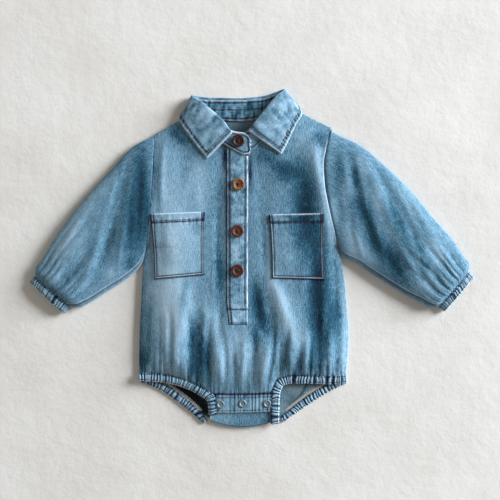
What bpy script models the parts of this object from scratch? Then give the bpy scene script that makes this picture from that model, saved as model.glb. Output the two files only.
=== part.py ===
# A baby's long-sleeved denim bodysuit, laid flat on its back.
# +X is the wearer's left, +Y the collar, +Z up from the surface it lies on; the origin is the middle
# of its outline on that surface. Sizes below are millimetres and become metres in metres().
# Every cloth piece is a thin wall between two grids of points: the face that shows and the plain one
# behind it. Right and left are the wearer's.

import math

import bmesh
import bpy
import numpy as np
from mathutils import Matrix, Vector

# ---------------------------------------------------------------- driving sizes

CLOTH = 1.2             # one layer of denim
DOUBLE_CLOTH = 1.5      # two pressed layers: collar, stand, placket
CASING = 2.2            # folded casing with its elastic
SEAM_GAP = 0.3          # between touching pieces
REST_GAP = 0.4          # under a piece that rests on another without following it
POCKET_GAP = 0.65       # under a pocket, whose flat facets cut across the front's curves
SEAM_ALLOWANCE = 0.6    # between edges that follow the same curve at different spacings
FOLD_RADIUS = 2.2       # the back's turn under the crotch
SIDE_EDGE = 4.5         # height of the front's edge at the side seam
ARMHOLE_RISE = 7.0      # how far the armhole stands open above that edge
HEM_HEIGHT = 7.2        # height of the front where its leg casing is sewn on
SOFT_EDGE = 55.0        # how far in from a side the front keeps rising
HEM_ROLL = 24.0         # how far up from the hem the bubble rounds over
TOP_ROLL = 30.0         # the same below the shoulder and neckline
BACK_ROLL = 1.5         # how far the back's edge turns up at the side seam
BACK_ROLL_WIDTH = 9.0
PLACKET_LIFT = 0.6      # the over band's face above the front's
PLACKET_THICKNESS = 1.4
UNDER_PLACKET_DROP = 1.1
POCKET_HEM = 0.6        # the turned hem adds this at a pocket's top
BAND_THICKNESS = 2.3    # the snap band, folded

BUTTON_DIAMETER = 15.0
BUTTON_THICKNESS = 2.4
BUTTON_HOLE = 1.7
BUTTON_HOLE_CIRCLE = 4.2
TAB_FACE = 12.95        # height of the collar tab's face at its button
BUTTON_SEAT = 0.65      # the placket's face above the front's, at a button
SNAP_DIAMETER = 9.5
SNAP_THICKNESS = 1.3

CUFF_GATHERS = 28
SLEEVE_GATHERS = 16
GATHER_DEPTH = 0.7
HEM_GATHER_REACH = 8.0  # how far up the front its gathers fade out


def table(columns, *rows):
    """A short table as one array for each named column."""
    names = columns.split()
    return {name: np.array([row[k] for row in rows], float) for k, name in enumerate(names)}


# The outline of the body, from the hem up. The left side is the one that lies straighter.
SIDE_RIGHT = table("y x",
                   (-137, -134.5), (-120, -135.5), (-91, -135), (-55, -133), (-24, -131.5), (-7, -130),
                   (22, -126), (52, -122.5), (84, -119.5), (114, -118), (134, -117.5), (150, -117))
SIDE_LEFT = table("y x",
                  (-140, 112.5), (-120, 115), (-91, 116.5), (-55, 114), (-14, 110), (17, 104), (42, 97.5),
                  (67, 91.5), (93, 87), (114, 86), (134, 89), (158, 96.5))
FRONT_TOP = table("x y",
                  (-117, 150), (-100, 160), (-85, 168.5), (-75, 176), (-62, 160.5), (-47, 148), (-31, 136.5),
                  (-17, 131), (-4.5, 132), (12, 146), (27, 162), (43, 182), (58, 177), (78, 167), (96.5, 158))
FRONT_HEM = table("x y",
                  (-134.5, -137), (-122, -136.5), (-109.5, -138), (-94.5, -140.5), (-81.5, -144), (-70, -148.5),
                  (-60.5, -153.5), (-52.5, -158.5), (-44, -161), (-14, -161), (20, -160), (23.6, -157.5),
                  (27, -149.2), (31.2, -143.6), (40, -140.6), (49.5, -139.5), (73.5, -140), (93.5, -141),
                  (112.5, -140))
BACK_NECK = table("x y", (-75, 176), (-55, 169), (-16.5, 166), (19.5, 171), (43, 182))
SHOULDER_RIGHT = table("x y", (-117, 150), (-100, 160), (-85, 168.5), (-75, 176))
SHOULDER_LEFT = table("x y", (43, 182), (58, 177), (78, 167), (96.5, 158))
BACK_LEG_RIGHT = table("x y",
                       (-52.5, -194), (-59, -187.5), (-67, -179), (-85, -163.5), (-106.5, -149.5), (-134, -140.5))
BACK_LEG_LEFT = table("x y",
                      (33, -192), (41, -185), (49.5, -178), (68.5, -163.5), (89.5, -151.5), (112.5, -142.5))
FLAP = table("right_x left_x right_y left_y", (-47.5, 29.5, -176, -175), (-50.5, 32, -191.8, -190.6))
FLAP_SAG = 8.5          # how far the middle of the fold hangs below its ends
SIDE_FOOT_RIGHT = -140.5  # where the back's leg edges meet its sides
SIDE_FOOT_LEFT = -142.5

# Height of the front's face down the middle of the body, and along its top edge.
BODY_HEIGHT = table("y z",
                    (-165, 9), (-140, 13), (-110, 16.5), (-80, 15), (-45, 12.5), (0, 11), (60, 10.5),
                    (110, 10.5), (150, 9.5), (185, 8))
TOP_HEIGHT = table("x z", (-117, 4.5), (-76, 5), (-47, 8.5), (-17, 10), (12, 8.8), (42, 5), (96.5, 4.5))

# The cut for the half placket, and the placket's own ends.
SLOT_LEFT = table("y x", (-170, -27.3), (-77, -27.3), (-48, -30), (140, -30.3))
SLOT_RIGHT = table("y x", (-170, -5.2), (-77, -5.2), (140, -4.7))
SLOT_FOOT = -77.5
PLACKET_TOP = table("x y", (-30.5, 135), (-4.5, 123.5))

# Large soft folds of each piece: a line, how wide, how far up (or down, if negative).
FRONT_FOLDS = table("x0 y0 x1 y1 width height",
                    (-64, -72, -62, -150, 11, -3.4), (-88, -40, -90, -130, 9, 1.6), (-112, -70, -114, -128, 8, -1.6),
                    (4, -86, 0, -146, 5, -2.0), (20, -98, 12, -152, 6, 1.8), (37, -94, 31, -141, 5, -2.4),
                    (51, -100, 43, -137, 6, 1.4), (58, -110, 52, -137, 4, -1.8), (81, -70, 77, -132, 6, -2.4),
                    (98, -80, 96, -130, 7, 1.5), (16, -32, 27, -104, 7, -1.4), (-42, -100, -36, -150, 7, 1.6),
                    (-36, 100, -60, 40, 12, -1.0), (8, 112, 16, 62, 9, -1.0), (66, 140, 84, 80, 12, 1.0),
                    (-100, 130, -84, 80, 14, 1.0))
SLEEVE_RIGHT_FOLDS = table("x0 y0 x1 y1 width height",
                           (-146, 122, -163, 61, 9, -2.4), (-163, 61, -179, -8, 8, -2.6),
                           (-171, 92, -240, 6, 9, 1.8), (-193, 12, -236, -34, 6, -2.4),
                           (-180, -18, -214, -48, 4, -1.6), (-236, 14, -252, -14, 5, -1.6),
                           (-133, 118, -136, 30, 6, -1.6), (-203, 40, -222, 8, 8, 1.4))
SLEEVE_LEFT_FOLDS = table("x0 y0 x1 y1 width height",
                          (118, 132, 130, 64, 8, -2.4), (130, 64, 149, 2, 8, -2.4), (153, 106, 194, 22, 8, -2.2),
                          (139, 116, 178, 28, 8, 1.8), (178, 28, 206, -20, 8, 1.6), (238, 14, 250, -14, 5, -1.8),
                          (212, -6, 232, -38, 5, -2.0), (103, 128, 104, 40, 6, -1.6))

# Flattened sections of each sleeve, from the armhole to the cuff: upper edge, lower edge, height.
SLEEVE_RIGHT = table("ux uy lx ly height",
                     (-117.5, 149, -127, 15, 11.5), (-131, 145, -133, -4, 12.5), (-147.5, 132, -143, -17, 14),
                     (-167.5, 110, -157, -27.5, 15), (-194, 81.5, -175, -39, 15.5), (-218, 52.5, -191, -49.5, 16),
                     (-238.5, 24, -199, -54, 16), (-252.5, 0, -206.5, -56.8, 15.5), (-260, -10.5, -212.5, -57.2, 14),
                     (-261, -19.5, -218.5, -56.5, 9.5))
SLEEVE_LEFT = table("ux uy lx ly height",
                    (97, 156.5, 105, 16, 11.5), (117, 147.5, 113, 3, 12.5), (138.5, 132, 127, -5, 14),
                    (163.5, 110, 143, -16, 15), (192.5, 81.5, 163, -29, 15.5), (216.5, 52.5, 184, -42, 16),
                    (241.5, 24, 203, -51.5, 16), (255, 4, 211, -56, 15.5), (262, -6.5, 218.5, -57.8, 14),
                    (261, -14.5, 225, -56, 9.5))
CUFF_RIGHT = table("ux uy lx ly height", (-261.6, -20.2, -219.1, -57.2, 9.2), (-267, -26.8, -226.5, -64.5, 9.2))
CUFF_LEFT = table("ux uy lx ly height", (261.6, -15.2, 225.6, -56.7, 9.2), (267.2, -20.8, 232, -62, 9.2))

# The seam that each leg casing is sewn on, from the side to the crotch.
LEG_SEAM_RIGHT = table("x y",
                       (-134.5, -137), (-109.5, -138), (-94.5, -140.5), (-81.5, -144), (-70, -148.5),
                       (-60.5, -153.5), (-52.5, -158.5), (-46.5, -164), (-43.7, -172), (-42.8, -185.5))
LEG_SEAM_LEFT = table("x y",
                      (112.5, -140), (93.5, -141), (73.5, -140), (49.5, -139.5), (40, -141), (32, -144.5),
                      (27.6, -151), (25, -160), (24.2, -172), (24.2, -197))
BACK_CASING_RIGHT = table("x y",
                          (-133.6, -141), (-106.5, -149.5), (-85, -163.5), (-67, -179), (-59, -187.5), (-54, -193))
BACK_CASING_LEFT = table("x y",
                         (112.1, -143), (89.5, -151.5), (68.5, -163.5), (49.5, -178), (41, -185), (35, -190.5))

# Crotch snap band of the front, the pockets, and what fastens.
CROTCH_BAND = table("x top bottom", (-42.2, -161.7, -184), (-10, -161.9, -183.6), (23.6, -160.9, -182.4))
POCKETS = table("top_outer_x top_outer_y top_inner_x top_inner_y low_inner_x low_inner_y low_outer_x low_outer_y",
                (-121.3, 54, -56.5, 57, -57, -18, -116.5, -23.5),
                (86, 55, 21, 53.5, 24.5, -22, 87.5, -24))
BUTTONS = table("x y", (-16, 142.5), (-16, 90.5), (-17, 34.5), (-17, -13))
SNAPS = table("x y", (-37.5, -174), (-11, -173), (18.5, -173))

# Collar leaf: the roll line and the outer edge at each station, from the right point to the left.
COLLAR = table("roll_x roll_y roll_z edge_x edge_y edge_z",
               (-23.5, 152, 15.2, -53.5, 121.5, 12.3), (-36, 168.5, 15.4, -65, 135.5, 12.2),
               (-50, 180.5, 15, -75, 149, 11.5), (-62, 190.5, 14, -83.5, 161, 9.6),
               (-70.5, 196, 11, -87.6, 169.5, 7), (-72.5, 198, 5.5, -86, 173.5, 3.4),
               (-68, 197.5, 0.7, -78, 178.5, 0.3), (-55, 195.5, 0, -62, 173, 0), (-16.5, 194.5, 0, -16.5, 169.5, 0),
               (16, 197.5, 0, 19, 174.5, 0), (33, 203.5, 0.7, 44, 188, 0.3), (39.5, 205.5, 5.5, 57.5, 183.5, 3.6),
               (39.5, 204.5, 11, 60.4, 175.5, 7.8), (31, 197.5, 14, 53.5, 163.5, 9.8),
               (19.5, 184.5, 15, 48.5, 153, 11.4),
               (8, 170, 15.4, 42.5, 140, 12), (-4, 154.5, 15.2, 35.5, 127, 12.2))
# Collar stand: the neck seam and the roll line at each station, from the buttoned tab round to the left.
STAND = table("seam_x seam_y seam_z top_x top_y top_z",
              (-1.4, 133.5, 11.3, -1.4, 142.5, 11.3), (-3, 127.5, 11.3, -4.5, 148.5, 11.3),
              (-9, 126.6, 11.3, -10.5, 152, 11.3), (-18, 130.5, 11.3, -19, 153, 11.3),
              (-29.5, 137, 10.6, -26, 155.3, 11.3), (-46, 149, 8.6, -38.5, 168, 11.3),
              (-60, 161.8, 7.4, -51.5, 179.5, 10.8), (-67.4, 171, 6.2, -61.5, 186.8, 9.6),
              (-70.6, 177, 5, -67.6, 190.8, 7), (-68, 178.5, 3.9, -65.4, 192.6, 4.8),
              (-62, 175, 3.5, -59, 192.3, 3.9),
              (-52, 170.5, 3.4, -50, 191.6, 3.6), (-16.5, 167.5, 3.4, -16.5, 191.6, 3.6),
              (12, 171, 3.4, 12.5, 193.6, 3.6), (27.5, 177, 3.5, 27, 197.8, 3.9), (35.5, 183, 3.9, 33, 200.2, 4.8),
              (37.8, 182.6, 4.9, 35.4, 199, 7), (34.6, 176.6, 6.2, 29.6, 193, 9.6),
              (25.4, 163.4, 7.4, 19.2, 182.3, 10.8),
              (11.5, 148, 8.6, 8.2, 168, 11.2), (0.5, 138.5, 9.1, -4, 154.5, 9.6), (-12, 135, 9.3, -13, 150, 9.4))

# ---------------------------------------------------------------- curves and surfaces


def smooth(knots, values, at):
    """A smooth curve through (knot, value) pairs that never overshoots them."""
    at = np.clip(np.asarray(at, float), knots[0], knots[-1])
    steps = np.diff(knots)
    rates = np.diff(values) / steps
    slopes = np.zeros(len(knots))
    slopes[0] = rates[0]
    slopes[-1] = rates[-1]
    same_way = rates[1:] * rates[:-1] > 0
    before, after = rates[:-1][same_way], rates[1:][same_way]
    slopes[1:-1][same_way] = 2 * before * after / (before + after)
    span = np.clip(np.searchsorted(knots, at, side="right") - 1, 0, len(steps) - 1)
    u = (at - knots[span]) / steps[span]
    h = steps[span]
    rise = values[span] * (2 * u ** 3 - 3 * u ** 2 + 1) + values[span + 1] * (3 * u ** 2 - 2 * u ** 3)
    bend = slopes[span] * (u ** 3 - 2 * u ** 2 + u) + slopes[span + 1] * (u ** 3 - u ** 2)
    return rise + h * bend


def read(curve, key, value, at):
    return smooth(curve[key], curve[value], at)


def path_knots(points):
    steps = np.linalg.norm(np.diff(points, axis=0), axis=1)
    return np.concatenate([[0.0], np.cumsum(steps)]) / steps.sum()


def along(curve, names, fractions):
    """Points on a table's smooth path, at fractions of its length."""
    points = np.stack([curve[name] for name in names.split()], axis=-1)
    knots = path_knots(points)
    return np.stack([smooth(knots, points[:, k], fractions) for k in range(points.shape[1])], axis=-1)


def between(curve, names, parts):
    """Points on a table's smooth path: its own rows, and even steps between each two of them."""
    rows = np.arange(len(next(iter(curve.values()))), dtype=float)
    steps = np.linspace(0, rows[-1], int(rows[-1]) * parts + 1)
    return np.stack([smooth(rows, curve[name], steps) for name in names.split()], axis=-1)


def folds(fold_table, x, y):
    """The height that the soft folds of a table add at (x, y)."""
    total = np.zeros(np.shape(x))
    for x0, y0, x1, y1, width, height in zip(*fold_table.values()):
        length = math.hypot(x1 - x0, y1 - y0)
        ax, ay = (x1 - x0) / length, (y1 - y0) / length
        down = np.clip(((x - x0) * ax + (y - y0) * ay) / length, -0.3, 1.3)
        off = (x - x0) * -ay + (y - y0) * ax
        fade = np.clip(np.sin(np.pi * np.clip((down + 0.3) / 1.6, 0, 1)), 0, 1) ** 1.5
        total += height * fade * np.exp(-(off / width) ** 2)
    return total


def ripple(count):
    """1 and -1 in turn: the crests and valleys of gathers."""
    return np.where(np.arange(count) % 2 == 0, 1.0, -1.0)


def rounded(distance, reach):
    """0 at an edge, 1 once it is reach away, steepest at the edge."""
    return 1 - (1 - np.clip(distance / reach, 0, 1)) ** 2.2


def armhole_open(y, low, high):
    """How open the armhole stands at y: 0 at the underarm and at the shoulder."""
    part = np.clip((y - low) / (high - low), 0, 1)
    return np.sqrt(4 * part * (1 - part))


def front_height(x, y):
    """Height of the front's face over any point of the body."""
    right_edge = read(SIDE_RIGHT, "y", "x", y)
    left_edge = read(SIDE_LEFT, "y", "x", y)
    from_right = rounded(x - right_edge, SOFT_EDGE)
    from_left = rounded(left_edge - x, SOFT_EDGE)
    middle = read(BODY_HEIGHT, "y", "z", y)
    edge_right = SIDE_EDGE + ARMHOLE_RISE * armhole_open(y, 15, 150)
    edge_left = SIDE_EDGE + ARMHOLE_RISE * armhole_open(y, 16, 158)
    height = middle + (edge_right - middle) * (1 - from_right) + (edge_left - middle) * (1 - from_left)
    height = height + folds(FRONT_FOLDS, x, y) * from_right * from_left
    below_top = rounded(read(FRONT_TOP, "x", "y", x) - y, TOP_ROLL)
    height = read(TOP_HEIGHT, "x", "z", x) * (1 - below_top) + height * below_top
    hem_edge = HEM_HEIGHT + (SIDE_EDGE - HEM_HEIGHT) * (1 - from_right * from_left)
    above_hem = rounded(y - read(FRONT_HEM, "x", "y", x), HEM_ROLL)
    return hem_edge * (1 - above_hem) + height * above_hem


# ---------------------------------------------------------------- building walls


def metres(points):
    return [tuple(float(c) * 0.001 for c in point) for point in points]


def grid_normals(grid, closed=False):
    """Unit normals, across the columns first and then up the rows."""
    if closed:
        across = np.roll(grid, -1, axis=1) - np.roll(grid, 1, axis=1)
    else:
        across = np.gradient(grid, axis=1)
    normals = np.cross(across, np.gradient(grid, axis=0))
    return normals / np.linalg.norm(normals, axis=2, keepdims=True)


def wall(name, face, back, material, closed=False, present=None):
    """A closed solid between two grids of points; cells that are not present are left open."""
    rows, columns = face.shape[:2]
    cells = columns if closed else columns - 1
    if present is None:
        present = np.ones((rows - 1, cells), bool)

    def corner(row, column, side):
        return side * rows * columns + row * columns + column % columns

    def is_there(row, column):
        if closed:
            column %= cells
        return 0 <= row < rows - 1 and 0 <= column < cells and present[row, column]

    faces = []
    for row in range(rows - 1):
        for column in range(cells):
            if not present[row, column]:
                continue
            ring = ((row, column), (row, column + 1), (row + 1, column + 1), (row + 1, column))
            faces.append([corner(*spot, 0) for spot in ring])
            faces.append([corner(*spot, 1) for spot in reversed(ring)])
            beyond = ((row - 1, column), (row, column + 1), (row + 1, column), (row, column - 1))
            for k, neighbour in enumerate(beyond):
                if not is_there(*neighbour):
                    a, b = ring[k], ring[(k + 1) % 4]
                    faces.append([corner(*a, 0), corner(*a, 1), corner(*b, 1), corner(*b, 0)])
    points = np.concatenate([face.reshape(-1, 3), back.reshape(-1, 3)])
    return add_mesh(name, points, faces, material)


def add_mesh(name, points, faces, material):
    mesh = bpy.data.meshes.new(name)
    mesh.from_pydata(metres(points), [], faces)
    shape = bmesh.new()
    shape.from_mesh(mesh)
    loose = [vertex for vertex in shape.verts if not vertex.link_faces]
    bmesh.ops.delete(shape, geom=loose, context="VERTS")
    bmesh.ops.recalc_face_normals(shape, faces=shape.faces)
    shape.to_mesh(mesh)
    shape.free()
    mesh.materials.append(material)
    mesh.shade_smooth()
    mesh.set_sharp_from_angle(angle=math.radians(50))
    piece = bpy.data.objects.new(name, mesh)
    bpy.context.collection.objects.link(piece)
    piece.parent = garment
    return piece


def finish(name, colour, roughness, metallic=0.0):
    material = bpy.data.materials.new(name)
    material.use_nodes = True
    shader = material.node_tree.nodes["Principled BSDF"]
    shader.inputs["Base Color"].default_value = (*colour, 1.0)
    shader.inputs["Roughness"].default_value = roughness
    shader.inputs["Metallic"].default_value = metallic
    material.diffuse_color = (*colour, 1.0)
    return material


# ---------------------------------------------------------------- body


def build_front():
    """The front, cut down the middle for the half placket and gathered on to its leg casings."""
    to_slot = np.array([0, .03, .07, .12, .18, .25, .32, .39, .46, .53, .60, .67, .74, .81, .88, .94, 1])
    across_slot = 3
    below = np.array([0, .04, .09, .15, .22, .31, .42, .55, .70, .85, 1])
    above = np.linspace(0, 1, 15)[1:]
    slot_row = len(below) - 1
    spots = [("right", part) for part in to_slot]
    spots += [("slot", part) for part in np.arange(1, across_slot) / across_slot]
    spots += [("left", part) for part in to_slot[::-1]]
    face = np.stack([front_column(place, part, below, above) for place, part in spots], axis=1)
    columns = face.shape[1]
    from_hem = face[:, :, 1] - face[0:1, :, 1]
    on_leg = (face[0, :, 0] < CROTCH_BAND["x"][0] - 8) | (face[0, :, 0] > CROTCH_BAND["x"][-1] + 4)
    on_leg[[0, -1]] = False
    face[:, :, 2] += ripple(columns) * on_leg * GATHER_DEPTH * np.exp(-from_hem / HEM_GATHER_REACH)
    back = face - grid_normals(face) * CLOTH
    present = np.ones((face.shape[0] - 1, columns - 1), bool)
    first = len(to_slot) - 1
    present[slot_row:, first:first + across_slot] = False
    return wall("front_panel", face, back, DENIM_FRONT, present=present)


def front_column(place, fraction, below, above):
    """One column of the front, from the hem to its top edge."""

    def x_at(y):
        slot_left = read(SLOT_LEFT, "y", "x", y)
        slot_right = read(SLOT_RIGHT, "y", "x", y)
        if place == "right":
            side = read(SIDE_RIGHT, "y", "x", y)
            return side + fraction * (slot_left - side)
        if place == "left":
            side = read(SIDE_LEFT, "y", "x", y)
            return side + fraction * (slot_right - side)
        return slot_left + fraction * (slot_right - slot_left)

    low, high = -150.0, 140.0
    for _ in range(12):
        low = float(read(FRONT_HEM, "x", "y", x_at(low)))
        high = float(read(FRONT_TOP, "x", "y", x_at(high)))
    y = np.concatenate([low + below * (SLOT_FOOT - low), SLOT_FOOT + above * (high - SLOT_FOOT)])
    x = x_at(y)
    return np.stack([x, y, front_height(x, y)], axis=-1)


def build_back():
    """The back: from the end of its crotch flap, round the fold and up to the neck, flat beneath."""
    flap_right = np.stack([FLAP["right_x"], FLAP["right_y"]], axis=-1)
    flap_left = np.stack([FLAP["left_x"], FLAP["left_y"]], axis=-1)
    rows = []  # each row's two ends, its height, and how much of the flap's sag and the neck's shape it has
    for step in (0.0, 0.5):
        rows.append((flap_right[0] + step * (flap_right[1] - flap_right[0]),
                     flap_left[0] + step * (flap_left[1] - flap_left[0]), 2 * FOLD_RADIUS, 0.4 + 0.6 * step, 0.0))
    for angle in np.radians([90, 45, 0, -45, -90]):
        drop = np.array([0.0, -math.cos(angle) * FOLD_RADIUS])
        rows.append((flap_right[1] + drop, flap_left[1] + drop, FOLD_RADIUS + math.sin(angle) * FOLD_RADIUS, 1.0, 0.0))
    for step in np.linspace(0, 1, 8)[1:]:
        rows.append((along(BACK_LEG_RIGHT, "x y", step), along(BACK_LEG_LEFT, "x y", step), 0.0, (1 - step) ** 2, 0.0))
    first_side_row = len(rows)
    for step in np.linspace(0, 1, 13)[1:]:
        right_y = SIDE_FOOT_RIGHT + step * (SIDE_RIGHT["y"][-1] - SIDE_FOOT_RIGHT)
        left_y = SIDE_FOOT_LEFT + step * (SIDE_LEFT["y"][-1] - SIDE_FOOT_LEFT)
        rows.append((np.array([float(read(SIDE_RIGHT, "y", "x", right_y)), right_y]),
                     np.array([float(read(SIDE_LEFT, "y", "x", left_y)), left_y]), 0.0, 0.0, step ** 2))
    right, left, height, sag, rise = [np.array(column) for column in zip(*rows)]
    across = np.array([0, .016, .036, .10, .18, .26, .34, .42, .50, .58, .66, .74, .82, .90, .964, .984, 1])
    top = back_top(across)
    straight = right[-1] + across[:, None] * (left[-1] - right[-1])
    top_rise = top - straight
    plan = right[:, None, :] + across[None, :, None] * (left - right)[:, None, :]
    plan = plan + rise[:, None, None] * top_rise[None, :, :]
    plan[:, :, 1] -= sag[:, None] * FLAP_SAG * (4 * across * (1 - across))[None, :]
    from_edge = np.minimum(across, 1 - across)[None, :] * np.linalg.norm(left - right, axis=1)[:, None]
    turned_up = BACK_ROLL * (1 - np.clip(from_edge / BACK_ROLL_WIDTH, 0, 1)) ** 2
    on_side = (np.arange(len(rows)) >= first_side_row)[:, None]
    z = height[:, None] + turned_up * on_side
    face = np.concatenate([plan, z[:, :, None]], axis=2)
    back = face + grid_normals(face) * CLOTH
    return wall("back_panel", face, back, DENIM_BACK)


def back_top(across):
    """The back's top edge: two shoulders with the neck between them."""
    neck_start, neck_end = 0.18, 0.82
    points = []
    for part in across:
        if part <= neck_start:
            points.append(along(SHOULDER_RIGHT, "x y", part / neck_start))
        elif part < neck_end:
            points.append(along(BACK_NECK, "x y", (part - neck_start) / (neck_end - neck_start)))
        else:
            points.append(along(SHOULDER_LEFT, "x y", (part - neck_end) / (1 - neck_end)))
    return np.array(points)


# ---------------------------------------------------------------- placket and pockets


def build_placket():
    """The over band that shows, with the under band that the buttons are sewn to below it."""
    across = np.linspace(0, 1, 5)
    up = np.linspace(0, 1, 19)
    for name, lift, thickness in (("placket_over", PLACKET_LIFT, PLACKET_THICKNESS),
                                  ("placket_under", -UNDER_PLACKET_DROP, CLOTH)):
        columns = []
        for part in across:
            edge_left = read(SLOT_LEFT, "y", "x", 0) + SEAM_GAP
            edge_right = read(SLOT_RIGHT, "y", "x", 0) - SEAM_GAP
            high = float(read(PLACKET_TOP, "x", "y", edge_left + part * (edge_right - edge_left)))
            low = SLOT_FOOT + SEAM_GAP
            y = low + up * (high - low)
            edge_left = read(SLOT_LEFT, "y", "x", y) + SEAM_GAP
            edge_right = read(SLOT_RIGHT, "y", "x", y) - SEAM_GAP
            x = edge_left + part * (edge_right - edge_left)
            columns.append(np.stack([x, y, front_height(x, y) + lift], axis=-1))
        face = np.stack(columns, axis=1)
        back = face - np.array([0, 0, thickness])
        wall(name, face, back, DENIM_TRIM)


def build_pockets():
    """Patch pockets, made from the front's own height and moved out; the top hem is thicker."""
    across = np.linspace(0, 1, 8)
    up = np.array([0, .12, .25, .38, .51, .64, .76, .88, .94, 1])
    for row, name in enumerate(("pocket_right", "pocket_left")):
        spot = {key: POCKETS[key][row] for key in POCKETS}
        high = corner_line(spot, "top_outer", "top_inner", across)
        low = corner_line(spot, "low_outer", "low_inner", across)
        plan = low[None, :, :] + up[:, None, None] * (high - low)[None, :, :]
        x, y = plan[:, :, 0], plan[:, :, 1]
        ground = front_height(x, y)
        in_hem = (up >= up[-3])[:, None]
        back = np.stack([x, y, ground + POCKET_GAP], axis=-1)
        face = back.copy()
        face[:, :, 2] += CLOTH + POCKET_HEM * in_hem
        wall(name, face, back, DENIM_TRIM)


def corner_line(spot, start, end, parts):
    first = np.array([spot[start + "_x"], spot[start + "_y"]])
    last = np.array([spot[end + "_x"], spot[end + "_y"]])
    return first + parts[:, None] * (last - first)


# ---------------------------------------------------------------- sleeves and cuffs


def flat_ring(upper, lower, height, inset, count, bow=None):
    """A flattened tube's section: over the top from its upper edge to its lower one, back along z = inset."""
    angle = np.linspace(0, 2 * math.pi, count, endpoint=False)
    part = 0.5 - 0.5 * np.cos(angle)
    reach = lower - upper
    away = reach / np.linalg.norm(reach)
    plan = (upper + away * inset) + part[:, None] * (reach - 2 * inset * away)
    if bow is not None:
        plan = plan + bow(part)
    lift = np.abs(np.sin(angle))
    edge = min(4.2, 0.45 * height)
    over = np.sin(angle) >= 0
    top = edge + (height - inset - edge) * lift ** 0.8
    under = inset + (edge - inset) * (1 - lift ** 0.4)
    z = np.where(over, top, under)
    return np.concatenate([plan, z[:, None]], axis=1), np.where(over, lift, 0.0)


def build_sleeve(name, sections, fold_table, side, outward):
    """A sleeve: rings from the armhole to the gathers at its cuff, flat where it lies on the surface."""
    stations = np.array([0, .05, .12, .20, .28, .36, .44, .52, .60, .68, .76, .83, .89, .93, .96, .985, 1])
    rings = along(sections, "ux uy lx ly height", stations)
    around = 2 * SLEEVE_GATHERS
    shell = {0.0: [], CLOTH: []}
    for station, (ux, uy, lx, ly, height) in zip(stations, rings):
        upper, lower = np.array([ux, uy]), np.array([lx, ly])
        near_armhole = max(0.0, 1 - station / 0.2) ** 2

        def follow_armhole(part):
            y = uy + part * (ly - uy)
            on_seam = read(side, "y", "x", y) + outward * SEAM_ALLOWANCE
            shift = (on_seam - (ux + part * (lx - ux))) * near_armhole
            return np.stack([shift, np.zeros(len(part))], axis=-1)

        for inset, rows in shell.items():
            ring, topness = flat_ring(upper, lower, height, inset, around, follow_armhole)
            away_from_ends = math.sin(math.pi * min(1.0, max(0.0, station))) ** 0.5
            ring[:, 2] += folds(fold_table, ring[:, 0], ring[:, 1]) * topness * away_from_ends
            gathered = GATHER_DEPTH * max(0.0, (station - 0.80) / 0.20) ** 1.5
            ring[:, 2] += ripple(around) * topness * gathered
            rows.append(ring)
    return wall(name, np.array(shell[0.0]), np.array(shell[CLOTH]), DENIM_SLEEVE, closed=True)


def build_cuff(name, sections):
    """An elastic cuff: an even ring of gathers outside, plain inside, flat beneath."""
    rings = along(sections, "ux uy lx ly height", np.array([0, 0.5, 1]))
    around = 2 * CUFF_GATHERS
    shell = {0.0: [], CASING: []}
    for row, (ux, uy, lx, ly, height) in enumerate(rings):
        upper, lower = np.array([ux, uy]), np.array([lx, ly])
        for inset, found in shell.items():
            swell = 0.5 if row == 1 and inset == 0 else 0.0
            ring, topness = flat_ring(upper, lower, height + swell, inset, around)
            if inset == 0:
                ring[:, 2] += ripple(around) * topness * GATHER_DEPTH
            found.append(ring)
    return wall(name, np.array(shell[0.0]), np.array(shell[CASING]), DENIM_TRIM, closed=True)


# ---------------------------------------------------------------- leg casings and crotch


def build_casing(name, seam, width, gathers, underside, outward):
    """An elastic leg casing beside its seam: gathers stand up on its face, its underside is plain."""
    steps = np.linspace(0, 1, 2 * gathers + 1)
    path = along(seam, "x y", steps)
    tangent = np.gradient(path, axis=0)
    tangent /= np.linalg.norm(tangent, axis=1, keepdims=True)
    away = np.stack([tangent[:, 1], -tangent[:, 0]], axis=-1) * outward
    wide = width[0] + (width[1] - width[0]) * np.sin(math.pi * steps)
    rows_face, rows_back = [], []
    for part, crown in ((0.0, -0.5), (0.35, 0.3), (0.7, 0.2), (1.0, -0.8)):
        reach = SEAM_ALLOWANCE + part * (wide - SEAM_ALLOWANCE)
        plan = path + away * reach[:, None]
        gathered = GATHER_DEPTH * (0.6 + 0.4 * math.sin(math.pi * part))
        z = underside + CASING + crown - ripple(len(steps)) * gathered
        rows_face.append(np.concatenate([plan, z[:, None]], axis=1))
        rows_back.append(np.concatenate([plan, np.full((len(steps), 1), underside)], axis=1))
    return wall(name, np.array(rows_face), np.array(rows_back), DENIM_TRIM)


def build_crotch_band():
    """The front's snap band, of folded cloth, over the flap of the back."""
    underside = 2 * FOLD_RADIUS + REST_GAP
    across = np.linspace(CROTCH_BAND["x"][0], CROTCH_BAND["x"][-1], 11)
    top = read(CROTCH_BAND, "x", "top", across)
    bottom = read(CROTCH_BAND, "x", "bottom", across)
    face, back = [], []
    for part, crown in ((0.0, -0.5), (0.15, 0.0), (0.5, 0.0), (0.85, 0.0), (1.0, -0.5)):
        y = bottom + part * (top - bottom)
        face.append(np.stack([across, y, np.full(len(across), underside + BAND_THICKNESS + crown)],
                             axis=-1))
        back.append(np.stack([across, y, np.full(len(across), underside)], axis=-1))
    wall("crotch_band_front", np.array(face), np.array(back), DENIM_TRIM)
    return underside + BAND_THICKNESS


# ---------------------------------------------------------------- collar


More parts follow.
